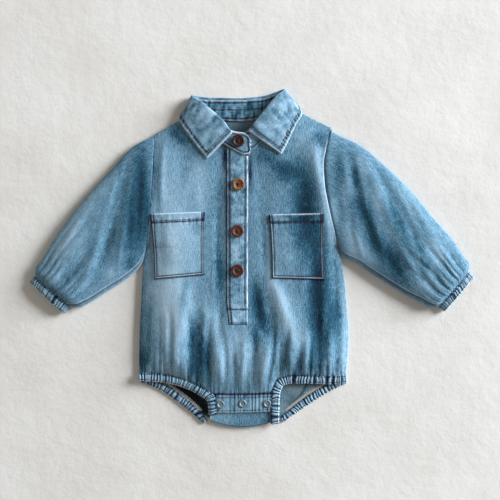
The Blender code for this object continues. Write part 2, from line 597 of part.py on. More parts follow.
def build_collar():
    """The turned-down collar: both leaves, with the fall between them lying under the stand."""
    roll = between(COLLAR, "roll_x roll_y roll_z", 2)
    edge = between(COLLAR, "edge_x edge_y edge_z", 2)
    down = np.array([0, .08, .3, .55, .8, 1])
    crown = np.array([-0.5, 0.2, 0.6, 0.5, 0.2, 0])
    grid = roll[:, None, :] + down[None, :, None] * (edge - roll)[:, None, :]
    in_front = np.clip((grid[:, :, 2] - 6.0) / 4.0, 0, 1)
    grid[:, :, 2] += crown[None, :] * in_front
    x, y = grid[:, :, 0], grid[:, :, 1]
    resting = front_height(x, y) + SEAM_GAP + REST_GAP + DOUBLE_CLOTH
    on_body = (y < read(FRONT_TOP, "x", "y", x) + 1.0) & (grid[:, :, 2] > 5.0)
    grid[:, :, 2] = np.where(on_body, np.maximum(grid[:, :, 2], resting), grid[:, :, 2])
    back = grid + grid_normals(grid) * DOUBLE_CLOTH
    return wall("collar", grid, back, DENIM_TRIM)


def build_stand():
    """The stand: a buttoned tab over the placket, round the neck, ending under the tab."""
    seam = between(STAND, "seam_x seam_y seam_z", 2)
    top = between(STAND, "top_x top_y top_z", 2)
    up = np.array([0, .35, .7, 1])
    grid = seam[:, None, :] + up[None, :, None] * (top - seam)[:, None, :]
    back = grid + grid_normals(grid) * DOUBLE_CLOTH
    return wall("collar_stand", grid, back, DENIM_TRIM)


# ---------------------------------------------------------------- buttons and snaps


def turned(name, profile, sides, material):
    """A turned disc from (radius, height) points, from the middle of its top round to its base."""
    points, faces = [], []
    for radius, height in profile:
        if radius == 0:
            points.append((0, 0, height))
        else:
            for k in range(sides):
                angle = 2 * math.pi * k / sides
                points.append((radius * math.cos(angle), radius * math.sin(angle), height))
    rings = [1 + k * sides for k in range(len(profile) - 2)]
    for k in range(sides):
        following = (k + 1) % sides
        faces.append((0, rings[0] + k, rings[0] + following))
        faces.append((len(points) - 1, rings[-1] + following, rings[-1] + k))
        for inner, outer in zip(rings, rings[1:]):
            faces.append((inner + k, outer + k, outer + following, inner + following))
    return add_mesh(name, points, faces, material)


def set_down(piece, x, y, surface, slope):
    """Places a disc on a sloping face, just clear of it."""
    normal = Vector((-slope[0], -slope[1], 1)).normalized()
    spot = Vector((x, y, surface)) + normal * REST_GAP
    turn = Vector((0, 0, 1)).rotation_difference(normal).to_matrix().to_4x4()
    piece.matrix_world = Matrix.Translation(spot * 0.001) @ turn


def slope_of(height, x, y, step=4.0):
    return ((float(height(x + step, y)) - float(height(x - step, y))) / (2 * step),
            (float(height(x, y + step)) - float(height(x, y - step))) / (2 * step))


def build_buttons():
    """Four-hole buttons with a raised rim round a shallow dish."""
    radius, thick = BUTTON_DIAMETER / 2, BUTTON_THICKNESS
    profile = ((0, thick - 0.8), (radius * 0.62, thick - 0.7), (radius * 0.82, thick),
               (radius, thick - 0.7), (radius * 0.96, 0.4), (radius * 0.8, 0), (0, 0))
    cutter = hole_cutter(thick)
    for row, (x, y) in enumerate(zip(BUTTONS["x"], BUTTONS["y"])):
        button = turned(f"button_{row + 1}", profile, 16, COCONUT)
        drill = button.modifiers.new("holes", "BOOLEAN")
        drill.operation = "DIFFERENCE"
        own = cutter.copy()
        bpy.context.collection.objects.link(own)
        drill.object = own
        if row == 0:
            set_down(button, x, y, TAB_FACE, (0, 0))
        else:
            set_down(button, x, y, float(front_height(x, y)) + BUTTON_SEAT, slope_of(front_height, x, y))
        own.matrix_world = button.matrix_world.copy()
    bpy.data.objects.remove(cutter)


def hole_cutter(thick):
    """Four rods in a square, hidden from the model."""
    sides, points, faces = 6, [], []
    reach = BUTTON_HOLE_CIRCLE / 2
    for turn in range(4):
        angle = math.pi / 4 + turn * math.pi / 2
        start = len(points)
        for height in (-1.0, thick + 1.0):
            for k in range(sides):
                around = 2 * math.pi * k / sides
                points.append((reach * math.cos(angle) + BUTTON_HOLE / 2 * math.cos(around),
                               reach * math.sin(angle) + BUTTON_HOLE / 2 * math.sin(around), height))
        faces.append([start + k for k in reversed(range(sides))])
        faces.append([start + sides + k for k in range(sides)])
        for k in range(sides):
            following = (k + 1) % sides
            faces.append([start + k, start + following, start + sides + following, start + sides + k])
    cutter = add_mesh("button_hole_cutter", points, faces, COCONUT)
    cutter.hide_render = True
    cutter.display_type = "WIRE"
    return cutter


def build_snaps(surface):
    """Ring snap heads on the crotch band: a rounded ring with a sunk middle."""
    radius, thick = SNAP_DIAMETER / 2, SNAP_THICKNESS
    profile = ((0, thick * 0.35), (radius * 0.50, thick * 0.35), (radius * 0.62, thick * 0.9), (radius * 0.8, thick),
               (radius * 0.96, thick * 0.7), (radius, thick * 0.2), (radius * 0.95, 0), (0, 0))
    for row, (x, y) in enumerate(zip(SNAPS["x"], SNAPS["y"])):
        set_down(turned(f"snap_{row + 1}", profile, 12, METAL), x, y, surface, (0, 0))


# ---------------------------------------------------------------- the garment

for leftover in list(bpy.data.objects):
    bpy.data.objects.remove(leftover)

garment = bpy.data.objects.new("garment", None)
bpy.context.collection.objects.link(garment)

DENIM_FRONT = finish("washed denim", (0.22, 0.36, 0.47), 0.9)
DENIM_BACK = finish("washed denim back", (0.17, 0.29, 0.38), 0.9)
DENIM_SLEEVE = finish("washed denim sleeve", (0.19, 0.33, 0.43), 0.9)
DENIM_TRIM = finish("washed denim trim", (0.15, 0.27, 0.37), 0.9)
COCONUT = finish("coconut shell", (0.16, 0.06, 0.035), 0.5)
METAL = finish("brushed nickel", (0.62, 0.58, 0.52), 0.35, 1.0)

build_back()
build_front()
build_placket()
build_pockets()
build_sleeve("sleeve_right", SLEEVE_RIGHT, SLEEVE_RIGHT_FOLDS, SIDE_RIGHT, -1)
build_sleeve("sleeve_left", SLEEVE_LEFT, SLEEVE_LEFT_FOLDS, SIDE_LEFT, 1)
build_cuff("cuff_right", CUFF_RIGHT)
build_cuff("cuff_left", CUFF_LEFT)
build_casing("leg_band_front_right", LEG_SEAM_RIGHT, (9.0, 10.0), 18, 2 * FOLD_RADIUS + 0.5, 1)
build_casing("leg_band_front_left", LEG_SEAM_LEFT, (8.8, 9.8), 20, 2 * FOLD_RADIUS + 0.5, -1)
build_casing("leg_band_back_right", BACK_CASING_RIGHT, (6.0, 9.0), 12, 0.0, 1)
build_casing("leg_band_back_left", BACK_CASING_LEFT, (6.0, 9.0), 14, 0.0, -1)
build_snaps(build_crotch_band())
build_collar()
build_stand()
build_buttons()
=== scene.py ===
import math

import bmesh
import bpy
import numpy as np
from mathutils import Matrix, Vector


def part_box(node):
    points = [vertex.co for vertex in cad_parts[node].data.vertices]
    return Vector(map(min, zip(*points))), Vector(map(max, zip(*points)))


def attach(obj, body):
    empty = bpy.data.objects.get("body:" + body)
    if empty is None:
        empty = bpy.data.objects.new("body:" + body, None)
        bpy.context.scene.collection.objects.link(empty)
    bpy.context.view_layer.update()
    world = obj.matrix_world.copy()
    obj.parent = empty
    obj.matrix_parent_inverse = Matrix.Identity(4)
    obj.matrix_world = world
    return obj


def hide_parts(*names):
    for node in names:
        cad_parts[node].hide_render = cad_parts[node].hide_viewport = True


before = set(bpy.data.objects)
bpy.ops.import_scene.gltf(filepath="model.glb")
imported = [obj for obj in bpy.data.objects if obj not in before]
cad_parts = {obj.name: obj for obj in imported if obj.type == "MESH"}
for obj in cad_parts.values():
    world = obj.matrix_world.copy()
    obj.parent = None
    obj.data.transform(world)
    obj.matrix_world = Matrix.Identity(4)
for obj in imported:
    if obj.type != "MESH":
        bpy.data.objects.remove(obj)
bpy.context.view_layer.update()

# A baby's washed denim bodysuit, laid flat on its back. Lengths in the tables are millimetres, with
# +X the wearer's left and +Y the collar; meshes are made in metres. Right and left are the wearer's.
# The outlines repeat the sizes that the fixed frame was built from; the folds and the sewing are added here.

millimetre = 0.001
stitchLines = {"navy": [], "overlock": []}

# ------------------------------------------------------------- sizes shared with the frame

cloth = 1.2  # one layer of denim
doubleCloth = 1.5  # collar, stand and placket
casing = 2.2  # folded casing with its elastic
seamAllowance = 0.6
foldRadius = 2.2  # the back's turn under the crotch
sideEdge = 4.5
armholeRise = 7.0
hemHeight = 7.2
softEdge = 55.0
hemRoll = 24.0
topRoll = 30.0
backRoll = 1.5
backRollWidth = 9.0
flapSag = 8.5
slotFoot = -77.5


def table(columns, *rows):
    names = columns.split()
    return {name: np.array([row[k] for row in rows], float) for k, name in enumerate(names)}


sideRight = table("y x",
                  (-137, -134.5), (-120, -135.5), (-91, -135), (-55, -133), (-24, -131.5), (-7, -130),
                  (22, -126), (52, -122.5), (84, -119.5), (114, -118), (134, -117.5), (150, -117))
sideLeft = table("y x",
                 (-140, 112.5), (-120, 115), (-91, 116.5), (-55, 114), (-14, 110), (17, 104), (42, 97.5),
                 (67, 91.5), (93, 87), (114, 86), (134, 89), (158, 96.5))
frontTop = table("x y",
                 (-117, 150), (-100, 160), (-85, 168.5), (-75, 176), (-62, 160.5), (-47, 148), (-31, 136.5),
                 (-17, 131), (-4.5, 132), (12, 146), (27, 162), (43, 182), (58, 177), (78, 167), (96.5, 158))
frontHem = table("x y",
                 (-134.5, -137), (-122, -136.5), (-109.5, -138), (-94.5, -140.5), (-81.5, -144), (-70, -148.5),
                 (-60.5, -153.5), (-52.5, -158.5), (-44, -161), (-14, -161), (20, -160), (23.6, -157.5),
                 (27, -149.2), (31.2, -143.6), (40, -140.6), (49.5, -139.5), (73.5, -140), (93.5, -141),
                 (112.5, -140))
backNeck = table("x y", (-75, 176), (-55, 169), (-16.5, 166), (19.5, 171), (43, 182))
shoulderRight = table("x y", (-117, 150), (-100, 160), (-85, 168.5), (-75, 176))
shoulderLeft = table("x y", (43, 182), (58, 177), (78, 167), (96.5, 158))
backLegRight = table("x y",
                     (-52.5, -194), (-59, -187.5), (-67, -179), (-85, -163.5), (-106.5, -149.5), (-134, -140.5))
backLegLeft = table("x y",
                    (33, -192), (41, -185), (49.5, -178), (68.5, -163.5), (89.5, -151.5), (112.5, -142.5))
flapEnds = table("right_x left_x right_y left_y", (-47.5, 29.5, -176, -175), (-50.5, 32, -191.8, -190.6))
bodyHeight = table("y z",
                   (-165, 9), (-140, 13), (-110, 16.5), (-80, 15), (-45, 12.5), (0, 11), (60, 10.5),
                   (110, 10.5), (150, 9.5), (185, 8))
topHeight = table("x z", (-117, 4.5), (-76, 5), (-47, 8.5), (-17, 10), (12, 8.8), (42, 5), (96.5, 4.5))
slotLeft = table("y x", (-170, -27.3), (-77, -27.3), (-48, -30), (140, -30.3))
slotRight = table("y x", (-170, -5.2), (-77, -5.2), (140, -4.7))
placketTop = table("x y", (-30.5, 135), (-4.5, 123.5))
legSeamRight = table("x y",
                     (-134.5, -137), (-109.5, -138), (-94.5, -140.5), (-81.5, -144), (-70, -148.5),
                     (-60.5, -153.5), (-52.5, -158.5), (-46.5, -164), (-43.7, -172), (-42.8, -185.5))
legSeamLeft = table("x y",
                    (112.5, -140), (93.5, -141), (73.5, -140), (49.5, -139.5), (40, -141), (32, -144.5),
                    (27.6, -151), (25, -160), (24.2, -172), (24.2, -197))
backCasingRight = table("x y",
                        (-133.6, -141), (-106.5, -149.5), (-85, -163.5), (-67, -179), (-59, -187.5), (-54, -193))
backCasingLeft = table("x y",
                       (112.1, -143), (89.5, -151.5), (68.5, -163.5), (49.5, -178), (41, -185), (35, -190.5))
crotchBand = table("x top bottom", (-42.2, -161.7, -184), (-10, -161.9, -183.6), (23.6, -160.9, -182.4))
pocketCorners = table("top_outer_x top_outer_y top_inner_x top_inner_y low_inner_x low_inner_y low_outer_x low_outer_y",
                      (-121.3, 54, -56.5, 57, -57, -18, -116.5, -23.5),
                      (86, 55, 21, 53.5, 24.5, -22, 87.5, -24))
buttonSpots = table("x y", (-16, 142.5), (-16, 90.5), (-17, 34.5), (-17, -13))
snapSpots = table("x y", (-37.5, -174), (-11, -173), (18.5, -173))
sleeveRight = table("ux uy lx ly height",
                    (-117.5, 149, -127, 15, 11.5), (-131, 145, -133, -4, 12.5), (-147.5, 132, -143, -17, 14),
                    (-167.5, 110, -157, -27.5, 15), (-194, 81.5, -175, -39, 15.5), (-218, 52.5, -191, -49.5, 16),
                    (-238.5, 24, -199, -54, 16), (-252.5, 0, -206.5, -56.8, 15.5), (-260, -10.5, -212.5, -57.2, 14),
                    (-261, -19.5, -218.5, -56.5, 9.5))
sleeveLeft = table("ux uy lx ly height",
                   (97, 156.5, 105, 16, 11.5), (117, 147.5, 113, 3, 12.5), (138.5, 132, 127, -5, 14),
                   (163.5, 110, 143, -16, 15), (192.5, 81.5, 163, -29, 15.5), (216.5, 52.5, 184, -42, 16),
                   (241.5, 24, 203, -51.5, 16), (255, 4, 211, -56, 15.5), (262, -6.5, 218.5, -57.8, 14),
                   (261, -14.5, 225, -56, 9.5))
cuffRight = table("ux uy lx ly height", (-261.6, -20.2, -219.1, -57.2, 9.2), (-267, -26.8, -226.5, -64.5, 9.2))
cuffLeft = table("ux uy lx ly height", (261.6, -15.2, 225.6, -56.7, 9.2), (267.2, -20.8, 232, -62, 9.2))
collarRows = table("roll_x roll_y roll_z edge_x edge_y edge_z",
                   (-23.5, 152, 15.2, -53.5, 121.5, 12.3), (-36, 168.5, 15.4, -65, 135.5, 12.2),
                   (-50, 180.5, 15, -75, 149, 11.5), (-62, 190.5, 14, -83.5, 161, 9.6),
                   (-70.5, 196, 11, -87.6, 169.5, 7), (-72.5, 198, 5.5, -86, 173.5, 3.4),
                   (-68, 197.5, 0.7, -78, 178.5, 0.3), (-55, 195.5, 0, -62, 173, 0), (-16.5, 194.5, 0, -16.5, 169.5, 0),
                   (16, 197.5, 0, 19, 174.5, 0), (33, 203.5, 0.7, 44, 188, 0.3), (39.5, 205.5, 5.5, 57.5, 183.5, 3.6),
                   (39.5, 204.5, 11, 60.4, 175.5, 7.8), (31, 197.5, 14, 53.5, 163.5, 9.8),
                   (19.5, 184.5, 15, 48.5, 153, 11.4), (8, 170, 15.4, 42.5, 140, 12), (-4, 154.5, 15.2, 35.5, 127, 12.2))
standRows = table("seam_x seam_y seam_z top_x top_y top_z",
                  (-1.4, 133.5, 11.3, -1.4, 142.5, 11.3), (-3, 127.5, 11.3, -4.5, 148.5, 11.3),
                  (-9, 126.6, 11.3, -10.5, 152, 11.3), (-18, 130.5, 11.3, -19, 153, 11.3),
                  (-29.5, 137, 10.6, -26, 155.3, 11.3), (-46, 149, 8.6, -38.5, 168, 11.3),
                  (-60, 161.8, 7.4, -51.5, 179.5, 10.8), (-67.4, 171, 6.2, -61.5, 186.8, 9.6),
                  (-70.6, 177, 5, -67.6, 190.8, 7), (-68, 178.5, 3.9, -65.4, 192.6, 4.8),
                  (-62, 175, 3.5, -59, 192.3, 3.9),
                  (-52, 170.5, 3.4, -50, 191.6, 3.6), (-16.5, 167.5, 3.4, -16.5, 191.6, 3.6),
                  (12, 171, 3.4, 12.5, 193.6, 3.6), (27.5, 177, 3.5, 27, 197.8, 3.9), (35.5, 183, 3.9, 33, 200.2, 4.8),
                  (37.8, 182.6, 4.9, 35.4, 199, 7), (34.6, 176.6, 6.2, 29.6, 193, 9.6),
                  (25.4, 163.4, 7.4, 19.2, 182.3, 10.8),
                  (11.5, 143, 8.6, 8.2, 168, 11.2), (0.5, 132.5, 9.1, -4, 154.5, 9.6), (-12, 129, 9.3, -13, 150, 9.4))

# Large soft folds, the same as in the frame: a line, how wide, and how far up or down.
frontFolds = table("x0 y0 x1 y1 width height",
                   (-64, -72, -62, -150, 11, -3.4), (-88, -40, -90, -130, 9, 1.6), (-112, -70, -114, -128, 8, -1.6),
                   (4, -86, 0, -146, 5, -2.0), (20, -98, 12, -152, 6, 1.8), (37, -94, 31, -141, 5, -2.4),
                   (51, -100, 43, -137, 6, 1.4), (58, -110, 52, -137, 4, -1.8), (81, -70, 77, -132, 6, -2.4),
                   (98, -80, 96, -130, 7, 1.5), (16, -32, 27, -104, 7, -1.4), (-42, -100, -36, -150, 7, 1.6),
                   (-36, 100, -60, 40, 12, -1.0), (8, 112, 16, 62, 9, -1.0), (66, 140, 84, 80, 12, 1.0),
                   (-100, 130, -84, 80, 14, 1.0))
sleeveRightFolds = table("x0 y0 x1 y1 width height",
                         (-146, 122, -163, 61, 9, -2.4), (-163, 61, -179, -8, 8, -2.6),
                         (-171, 92, -240, 6, 9, 1.8), (-193, 12, -236, -34, 6, -2.4),
                         (-180, -18, -214, -48, 4, -1.6), (-236, 14, -252, -14, 5, -1.6),
                         (-133, 118, -136, 30, 6, -1.6), (-203, 40, -222, 8, 8, 1.4))
sleeveLeftFolds = table("x0 y0 x1 y1 width height",
                        (118, 132, 130, 64, 8, -2.4), (130, 64, 149, 2, 8, -2.4), (153, 106, 194, 22, 8, -2.2),
                        (139, 116, 178, 28, 8, 1.8), (178, 28, 206, -20, 8, 1.6), (238, 14, 250, -14, 5, -1.8),
                        (212, -6, 232, -38, 5, -2.0), (103, 128, 104, 40, 6, -1.6))

# ------------------------------------------------------------- curves and surfaces


def smooth(knots, values, at):  # a smooth curve through the pairs that never overshoots them
    at = np.clip(np.asarray(at, float), knots[0], knots[-1])
    steps = np.diff(knots)
    rates = np.diff(values) / steps
    slopes = np.zeros(len(knots))
    slopes[0] = rates[0]
    slopes[-1] = rates[-1]
    sameWay = rates[1:] * rates[:-1] > 0
    before, after = rates[:-1][sameWay], rates[1:][sameWay]
    slopes[1:-1][sameWay] = 2 * before * after / (before + after)
    span = np.clip(np.searchsorted(knots, at, side="right") - 1, 0, len(steps) - 1)
    h = steps[span]
    u = (at - knots[span]) / h
    rise = values[span] * (2 * u ** 3 - 3 * u ** 2 + 1) + values[span + 1] * (3 * u ** 2 - 2 * u ** 3)
    bend = slopes[span] * (u ** 3 - 2 * u ** 2 + u) + slopes[span + 1] * (u ** 3 - u ** 2)
    return rise + h * bend


def read(curve, key, value, at):
    return smooth(curve[key], curve[value], at)


def along(curve, names, fractions):  # points on a table's smooth path, at fractions of its length
    points = np.stack([curve[name] for name in names.split()], axis=-1)
    steps = np.linalg.norm(np.diff(points, axis=0), axis=1)
    knots = np.concatenate([[0.0], np.cumsum(steps)]) / steps.sum()
    return np.stack([smooth(knots, points[:, k], fractions) for k in range(points.shape[1])], axis=-1)


def between(curve, names, parts):  # the table's own rows, with even steps between each two of them
    rows = np.arange(len(next(iter(curve.values()))), dtype=float)
    steps = np.linspace(0, rows[-1], int(rows[-1]) * parts + 1)
    return np.stack([smooth(rows, curve[name], steps) for name in names.split()], axis=-1)


def softNoise(u, v, cell, seed):  # smooth random hills between -1 and 1, one for each cell
    lattice = np.random.default_rng(seed).uniform(-1, 1, (61, 61))
    u, v = np.broadcast_arrays(np.asarray(u, float) / cell, np.asarray(v, float) / cell)
    iu, iv = np.floor(u).astype(int), np.floor(v).astype(int)
    fu, fv = u - iu, v - iv
    fu = fu ** 3 * (fu * (6 * fu - 15) + 10)
    fv = fv ** 3 * (fv * (6 * fv - 15) + 10)

    def at(a, b):
        return lattice[(iu + a) % 61, (iv + b) % 61]

    near = at(0, 0) * (1 - fu) + at(1, 0) * fu
    far = at(0, 1) * (1 - fu) + at(1, 1) * fu
    return near * (1 - fv) + far * fv


def folds(rows, x, y):  # the height that a table's folds add at (x, y)
    total = np.zeros(np.shape(x))
    bows = rows.get("bow", np.zeros(len(rows["x0"])))
    for x0, y0, x1, y1, width, height, bow in zip(*[rows[n] for n in "x0 y0 x1 y1 width height".split()], bows):
        length = math.hypot(x1 - x0, y1 - y0)
        ax, ay = (x1 - x0) / length, (y1 - y0) / length
        down = np.clip(((x - x0) * ax + (y - y0) * ay) / length, -0.3, 1.3)
        off = (x - x0) * -ay + (y - y0) * ax - bow * 4 * down * (1 - down)
        fade = np.clip(np.sin(np.pi * np.clip((down + 0.3) / 1.6, 0, 1)), 0, 1) ** 1.5
        total += height * fade * np.exp(-(off / width) ** 2)
    return total


def gathers(part, count, seed, jitter=0.55):  # round ridges and narrow valleys, 1 to -1, unevenly spaced
    phase = part * count + jitter * softNoise(part * count, 0, 1.6, seed)
    size = 0.8 + 0.2 * softNoise(part * count, 7.3, 1.3, seed + 1)
    return (2 * np.abs(np.sin(np.pi * phase)) ** 0.8 - 1) * size


def rounded(distance, reach):
    return 1 - (1 - np.clip(distance / reach, 0, 1)) ** 2.2


def armholeOpen(y, low, high):
    part = np.clip((y - low) / (high - low), 0, 1)
    return np.sqrt(4 * part * (1 - part))


def gridNormals(grid, closed=False):
    across = np.roll(grid, -1, axis=1) - np.roll(grid, 1, axis=1) if closed else np.gradient(grid, axis=1)
    normals = np.cross(across, np.gradient(grid, axis=0))
    return normals / np.maximum(np.linalg.norm(normals, axis=2, keepdims=True), 1e-9)


def onGrid(grid, rows, columns):  # a point on a grid at fractional rows and columns
    rows = np.clip(rows, 0, grid.shape[0] - 1.001)
    columns = np.clip(columns, 0, grid.shape[1] - 1.001)
    r, c = np.floor(rows).astype(int), np.floor(columns).astype(int)
    u, v = (rows - r)[:, None], (columns - c)[:, None]
    low = grid[r, c] * (1 - v) + grid[r, c + 1] * v
    high = grid[r + 1, c] * (1 - v) + grid[r + 1, c + 1] * v
    return low * (1 - u) + high * u


# ------------------------------------------------------------- materials


def srgb(text):  # a hex colour as the linear values that shaders take
    values = [int(text[k:k + 2], 16) / 255 for k in (1, 3, 5)]
    return [v / 12.92 if v <= 0.04045 else ((v + 0.055) / 1.055) ** 2.4 for v in values] + [1.0]


def addNode(tree, kind, settings=None, **links):  # stops are a colour ramp's places and hex colours
    node = tree.nodes.new(kind)
    settings = dict(settings or {})
    stops = settings.pop("stops", ())
    while 2 < len(stops) > len(node.color_ramp.elements):
        node.color_ramp.elements.new(0.5)
    for row, (place, colour) in enumerate(stops):
        node.color_ramp.elements[row].position = place
        node.color_ramp.elements[row].color = srgb(colour)
    for name, value in settings.items():
        setattr(node, name, value)
    for name, value in links.items():
        key = int(name[1:]) if name[0] == "_" else name.replace("_", " ")
        if isinstance(value, bpy.types.NodeSocket):
            tree.links.new(value, node.inputs[key])
        else:
            node.inputs[key].default_value = value
    return node


def startMaterial(name):
    material = bpy.data.materials.new(name)
    material.use_nodes = True
    tree = material.node_tree
    return material, tree, tree.nodes["Principled BSDF"]


denimLook = {
    "shades": ((0.0, "#03263B"), (0.25, "#285972"), (0.5, "#6993AD"), (0.75, "#94BAD4"), (1.0, "#B2D2E9")),
    "insideShades": ((0.0, "#101C24"), (0.5, "#62808F"), (1.0, "#A4B8C2")),  # the plain inside of twill
    "ink": "#141C3C",  # indigo left in seams, and painted shade in the valleys of gathers, creases and puckers
    "worn": "#D3E2EC",  # cotton showing where edges rubbed in the wash
    "slubWidth": 1.3,  # mm, two or three yarns; a single one is 0.5 and wouldn't show
    "slubLength": 7.0,
    "fleck": 1.2,
    "mottle": 11.0,
    "twillPitch": 1.5,  # mm; real twill is 0.6
    "roughness": 0.88,
}


def denim(name, look, toneShift=0.0, slubAmount=0.62):
    # Stonewashed cotton twill: indigo warp over white weft, brushed soft by washing, so it is matt, streaky
    # along the warp, pale where it rubs and dark in its seams.
    material, tree, shader = startMaterial(name)
    weave = addNode(tree, "ShaderNodeUVMap", {"uv_map": "weave"}).outputs["UV"]
    place = addNode(tree, "ShaderNodeTexCoord").outputs["Object"]
    painted = {}
    for key in ("tone", "worn", "ink", "inside"):
        painted[key] = addNode(tree, "ShaderNodeAttribute", {"attribute_name": key}).outputs["Fac"]
    grain = {}
    slub, fleck = look["slubWidth"], look["fleck"]
    for key, wide, long in (("slub", slub, look["slubLength"]), ("crossed", look["slubLength"] * 0.5, slub * 0.8),
                            ("fleck", fleck, fleck * 1.7)):
        scaled = addNode(tree, "ShaderNodeMapping", Vector=weave, Scale=(1 / wide, 1 / long, 1)).outputs[0]
        grain[key] = addNode(tree, "ShaderNodeTexNoise", Vector=scaled, Scale=1.0, Detail=2.0,
                             Roughness=0.6).outputs[0]
    grain["mottle"] = addNode(tree, "ShaderNodeTexNoise", Vector=place, Scale=1 / (look["mottle"] * millimetre),
                              Detail=3.0, Roughness=0.6).outputs[0]
    twillPlace = addNode(tree, "ShaderNodeMapping", Vector=weave, Rotation=(0, 0, math.radians(28)),
                         Scale=(1 / look["twillPitch"],) * 3).outputs[0]
    grain["twill"] = addNode(tree, "ShaderNodeTexWave", Vector=twillPlace, Scale=0.314, Distortion=1.2,
                             Detail=1.0).outputs["Fac"]
    # The painted tone also carries painted light and shade: lighter on ridges, darker in folds and hollows, and the
    # pieces' shading tables.
    tone = painted["tone"]
    for key, amount in (("slub", slubAmount), ("crossed", 0.26), ("fleck", 0.5), ("mottle", 0.2), ("twill", 0.05)):
        tone = addNode(tree, "ShaderNodeMath", {"operation": "MULTIPLY_ADD"}, _0=grain[key], _1=amount,
                       _2=tone).outputs[0]
        tone = addNode(tree, "ShaderNodeMath", {"operation": "SUBTRACT"}, _0=tone, _1=amount / 2).outputs[0]
    tone = addNode(tree, "ShaderNodeMath", {"operation": "ADD"}, _0=tone, _1=toneShift).outputs[0]
    outside = addNode(tree, "ShaderNodeValToRGB", {"stops": look["shades"]}, Fac=tone).outputs[0]
    inside = addNode(tree, "ShaderNodeValToRGB", {"stops": look["insideShades"]}, Fac=tone).outputs[0]
    colour = addNode(tree, "ShaderNodeMix", {"data_type": "RGBA"}, _0=painted["inside"], _6=outside,
                     _7=inside).outputs[2]
    patchy = addNode(tree, "ShaderNodeMath", {"operation": "MULTIPLY_ADD"}, _0=grain["slub"], _1=1.3,
                     _2=0.2).outputs[0]
    rubbed = addNode(tree, "ShaderNodeMath", {"operation": "MULTIPLY", "use_clamp": True}, _0=painted["worn"],
                     _1=patchy).outputs[0]
    colour = addNode(tree, "ShaderNodeMix", {"data_type": "RGBA"}, _0=rubbed, _6=colour,
                     _7=srgb(look["worn"])).outputs[2]
    uneven = addNode(tree, "ShaderNodeMath", {"operation": "MULTIPLY_ADD"}, _0=grain["slub"], _1=-0.8,
                     _2=1.45).outputs[0]
    # The dark mark is the seams' indigo, and also painted shade in valleys and hollows.
    inkShadeAmount = addNode(tree, "ShaderNodeMath", {"operation": "MULTIPLY", "use_clamp": True}, _0=painted["ink"],
                    _1=uneven).outputs[0]
    colour = addNode(tree, "ShaderNodeMix", {"data_type": "RGBA"}, _0=inkShadeAmount, _6=colour,
                     _7=srgb(look["ink"])).outputs[2]
    tree.links.new(colour, shader.inputs["Base Color"])
    yarns = addNode(tree, "ShaderNodeMath", {"operation": "ADD"}, _0=grain["slub"], _1=grain["fleck"]).outputs[0]
    bump = addNode(tree, "ShaderNodeBump", Height=yarns, Strength=0.4, Distance=0.0006).outputs[0]
    tree.links.new(bump, shader.inputs["Normal"])
    shader.inputs["Roughness"].default_value = look["roughness"]
    shader.inputs["Specular IOR Level"].default_value = 0.2
    shader.inputs["Sheen Weight"].default_value = 0.05
    shader.inputs["Sheen Roughness"].default_value = 0.5
    return material


threadLook = {"navy": "#18214A", "overlock": "#E6E6E0"}


def thread(name, colour):
    # Spun polyester sewing thread: tightly twisted, so a fine diagonal of light and dark, which is painted shade of the
    # twist, and a faint gloss.
    material, tree, shader = startMaterial(name)
    place = addNode(tree, "ShaderNodeTexCoord").outputs["Object"]
    twist = addNode(tree, "ShaderNodeTexNoise", Vector=place, Scale=900.0, Detail=1.0).outputs[0]
    shadow = [c * 0.55 for c in srgb(colour)[:3]] + [1.0]
    twisted = addNode(tree, "ShaderNodeMix", {"data_type": "RGBA"}, _0=twist, _6=shadow, _7=srgb(colour)).outputs[2]
    tree.links.new(twisted, shader.inputs["Base Color"])
    shader.inputs["Roughness"].default_value = 0.6
    return material


buttonLook = {"pale": "#B98657", "warm": "#7A4A31", "brown": "#55291D", "dark": "#24100E", "grain": 1.8}


def coconutShell(name, look, shades):
    # Polished coconut shell: dense brown fibres in short flecks under a satin wax, so it glints softly.
    material, tree, shader = startMaterial(name)
    place = addNode(tree, "ShaderNodeTexCoord").outputs["Object"]
    stretched = addNode(tree, "ShaderNodeMapping", Vector=place, Rotation=(0, 0, 0.7), Scale=(1, 3.2, 1)).outputs[0]
    grain = addNode(tree, "ShaderNodeTexNoise", Vector=stretched, Scale=1 / (look["grain"] * millimetre), Detail=4.0,
                    Roughness=0.65).outputs[0]
    stops = tuple(zip((0.38, 0.5, 0.62), [look[shade] for shade in shades.split()]))
    colour = addNode(tree, "ShaderNodeValToRGB", {"stops": stops}, Fac=grain).outputs[0]
    tree.links.new(colour, shader.inputs["Base Color"])
    shader.inputs["Roughness"].default_value = 0.42
    bump = addNode(tree, "ShaderNodeBump", Height=grain, Strength=0.2, Distance=0.0003).outputs[0]
    tree.links.new(bump, shader.inputs["Normal"])
    return material


def snapMetal(name):
    # Nickelled brass, dulled by washing: grey with a warm cast where the plating has thinned.
    material, tree, shader = startMaterial(name)
    place = addNode(tree, "ShaderNodeTexCoord").outputs["Object"]
    tarnish = addNode(tree, "ShaderNodeTexNoise", Vector=place, Scale=700.0, Detail=3.0).outputs[0]
    stops = ((0.35, "#5F7686"), (0.55, "#8398A5"), (0.75, "#AEBDC6"))
    colour = addNode(tree, "ShaderNodeValToRGB", {"stops": stops}, Fac=tarnish).outputs[0]
    tree.links.new(colour, shader.inputs["Base Color"])
    shader.inputs["Metallic"].default_value = 0.5
    shader.inputs["Roughness"].default_value = 0.55
    return material


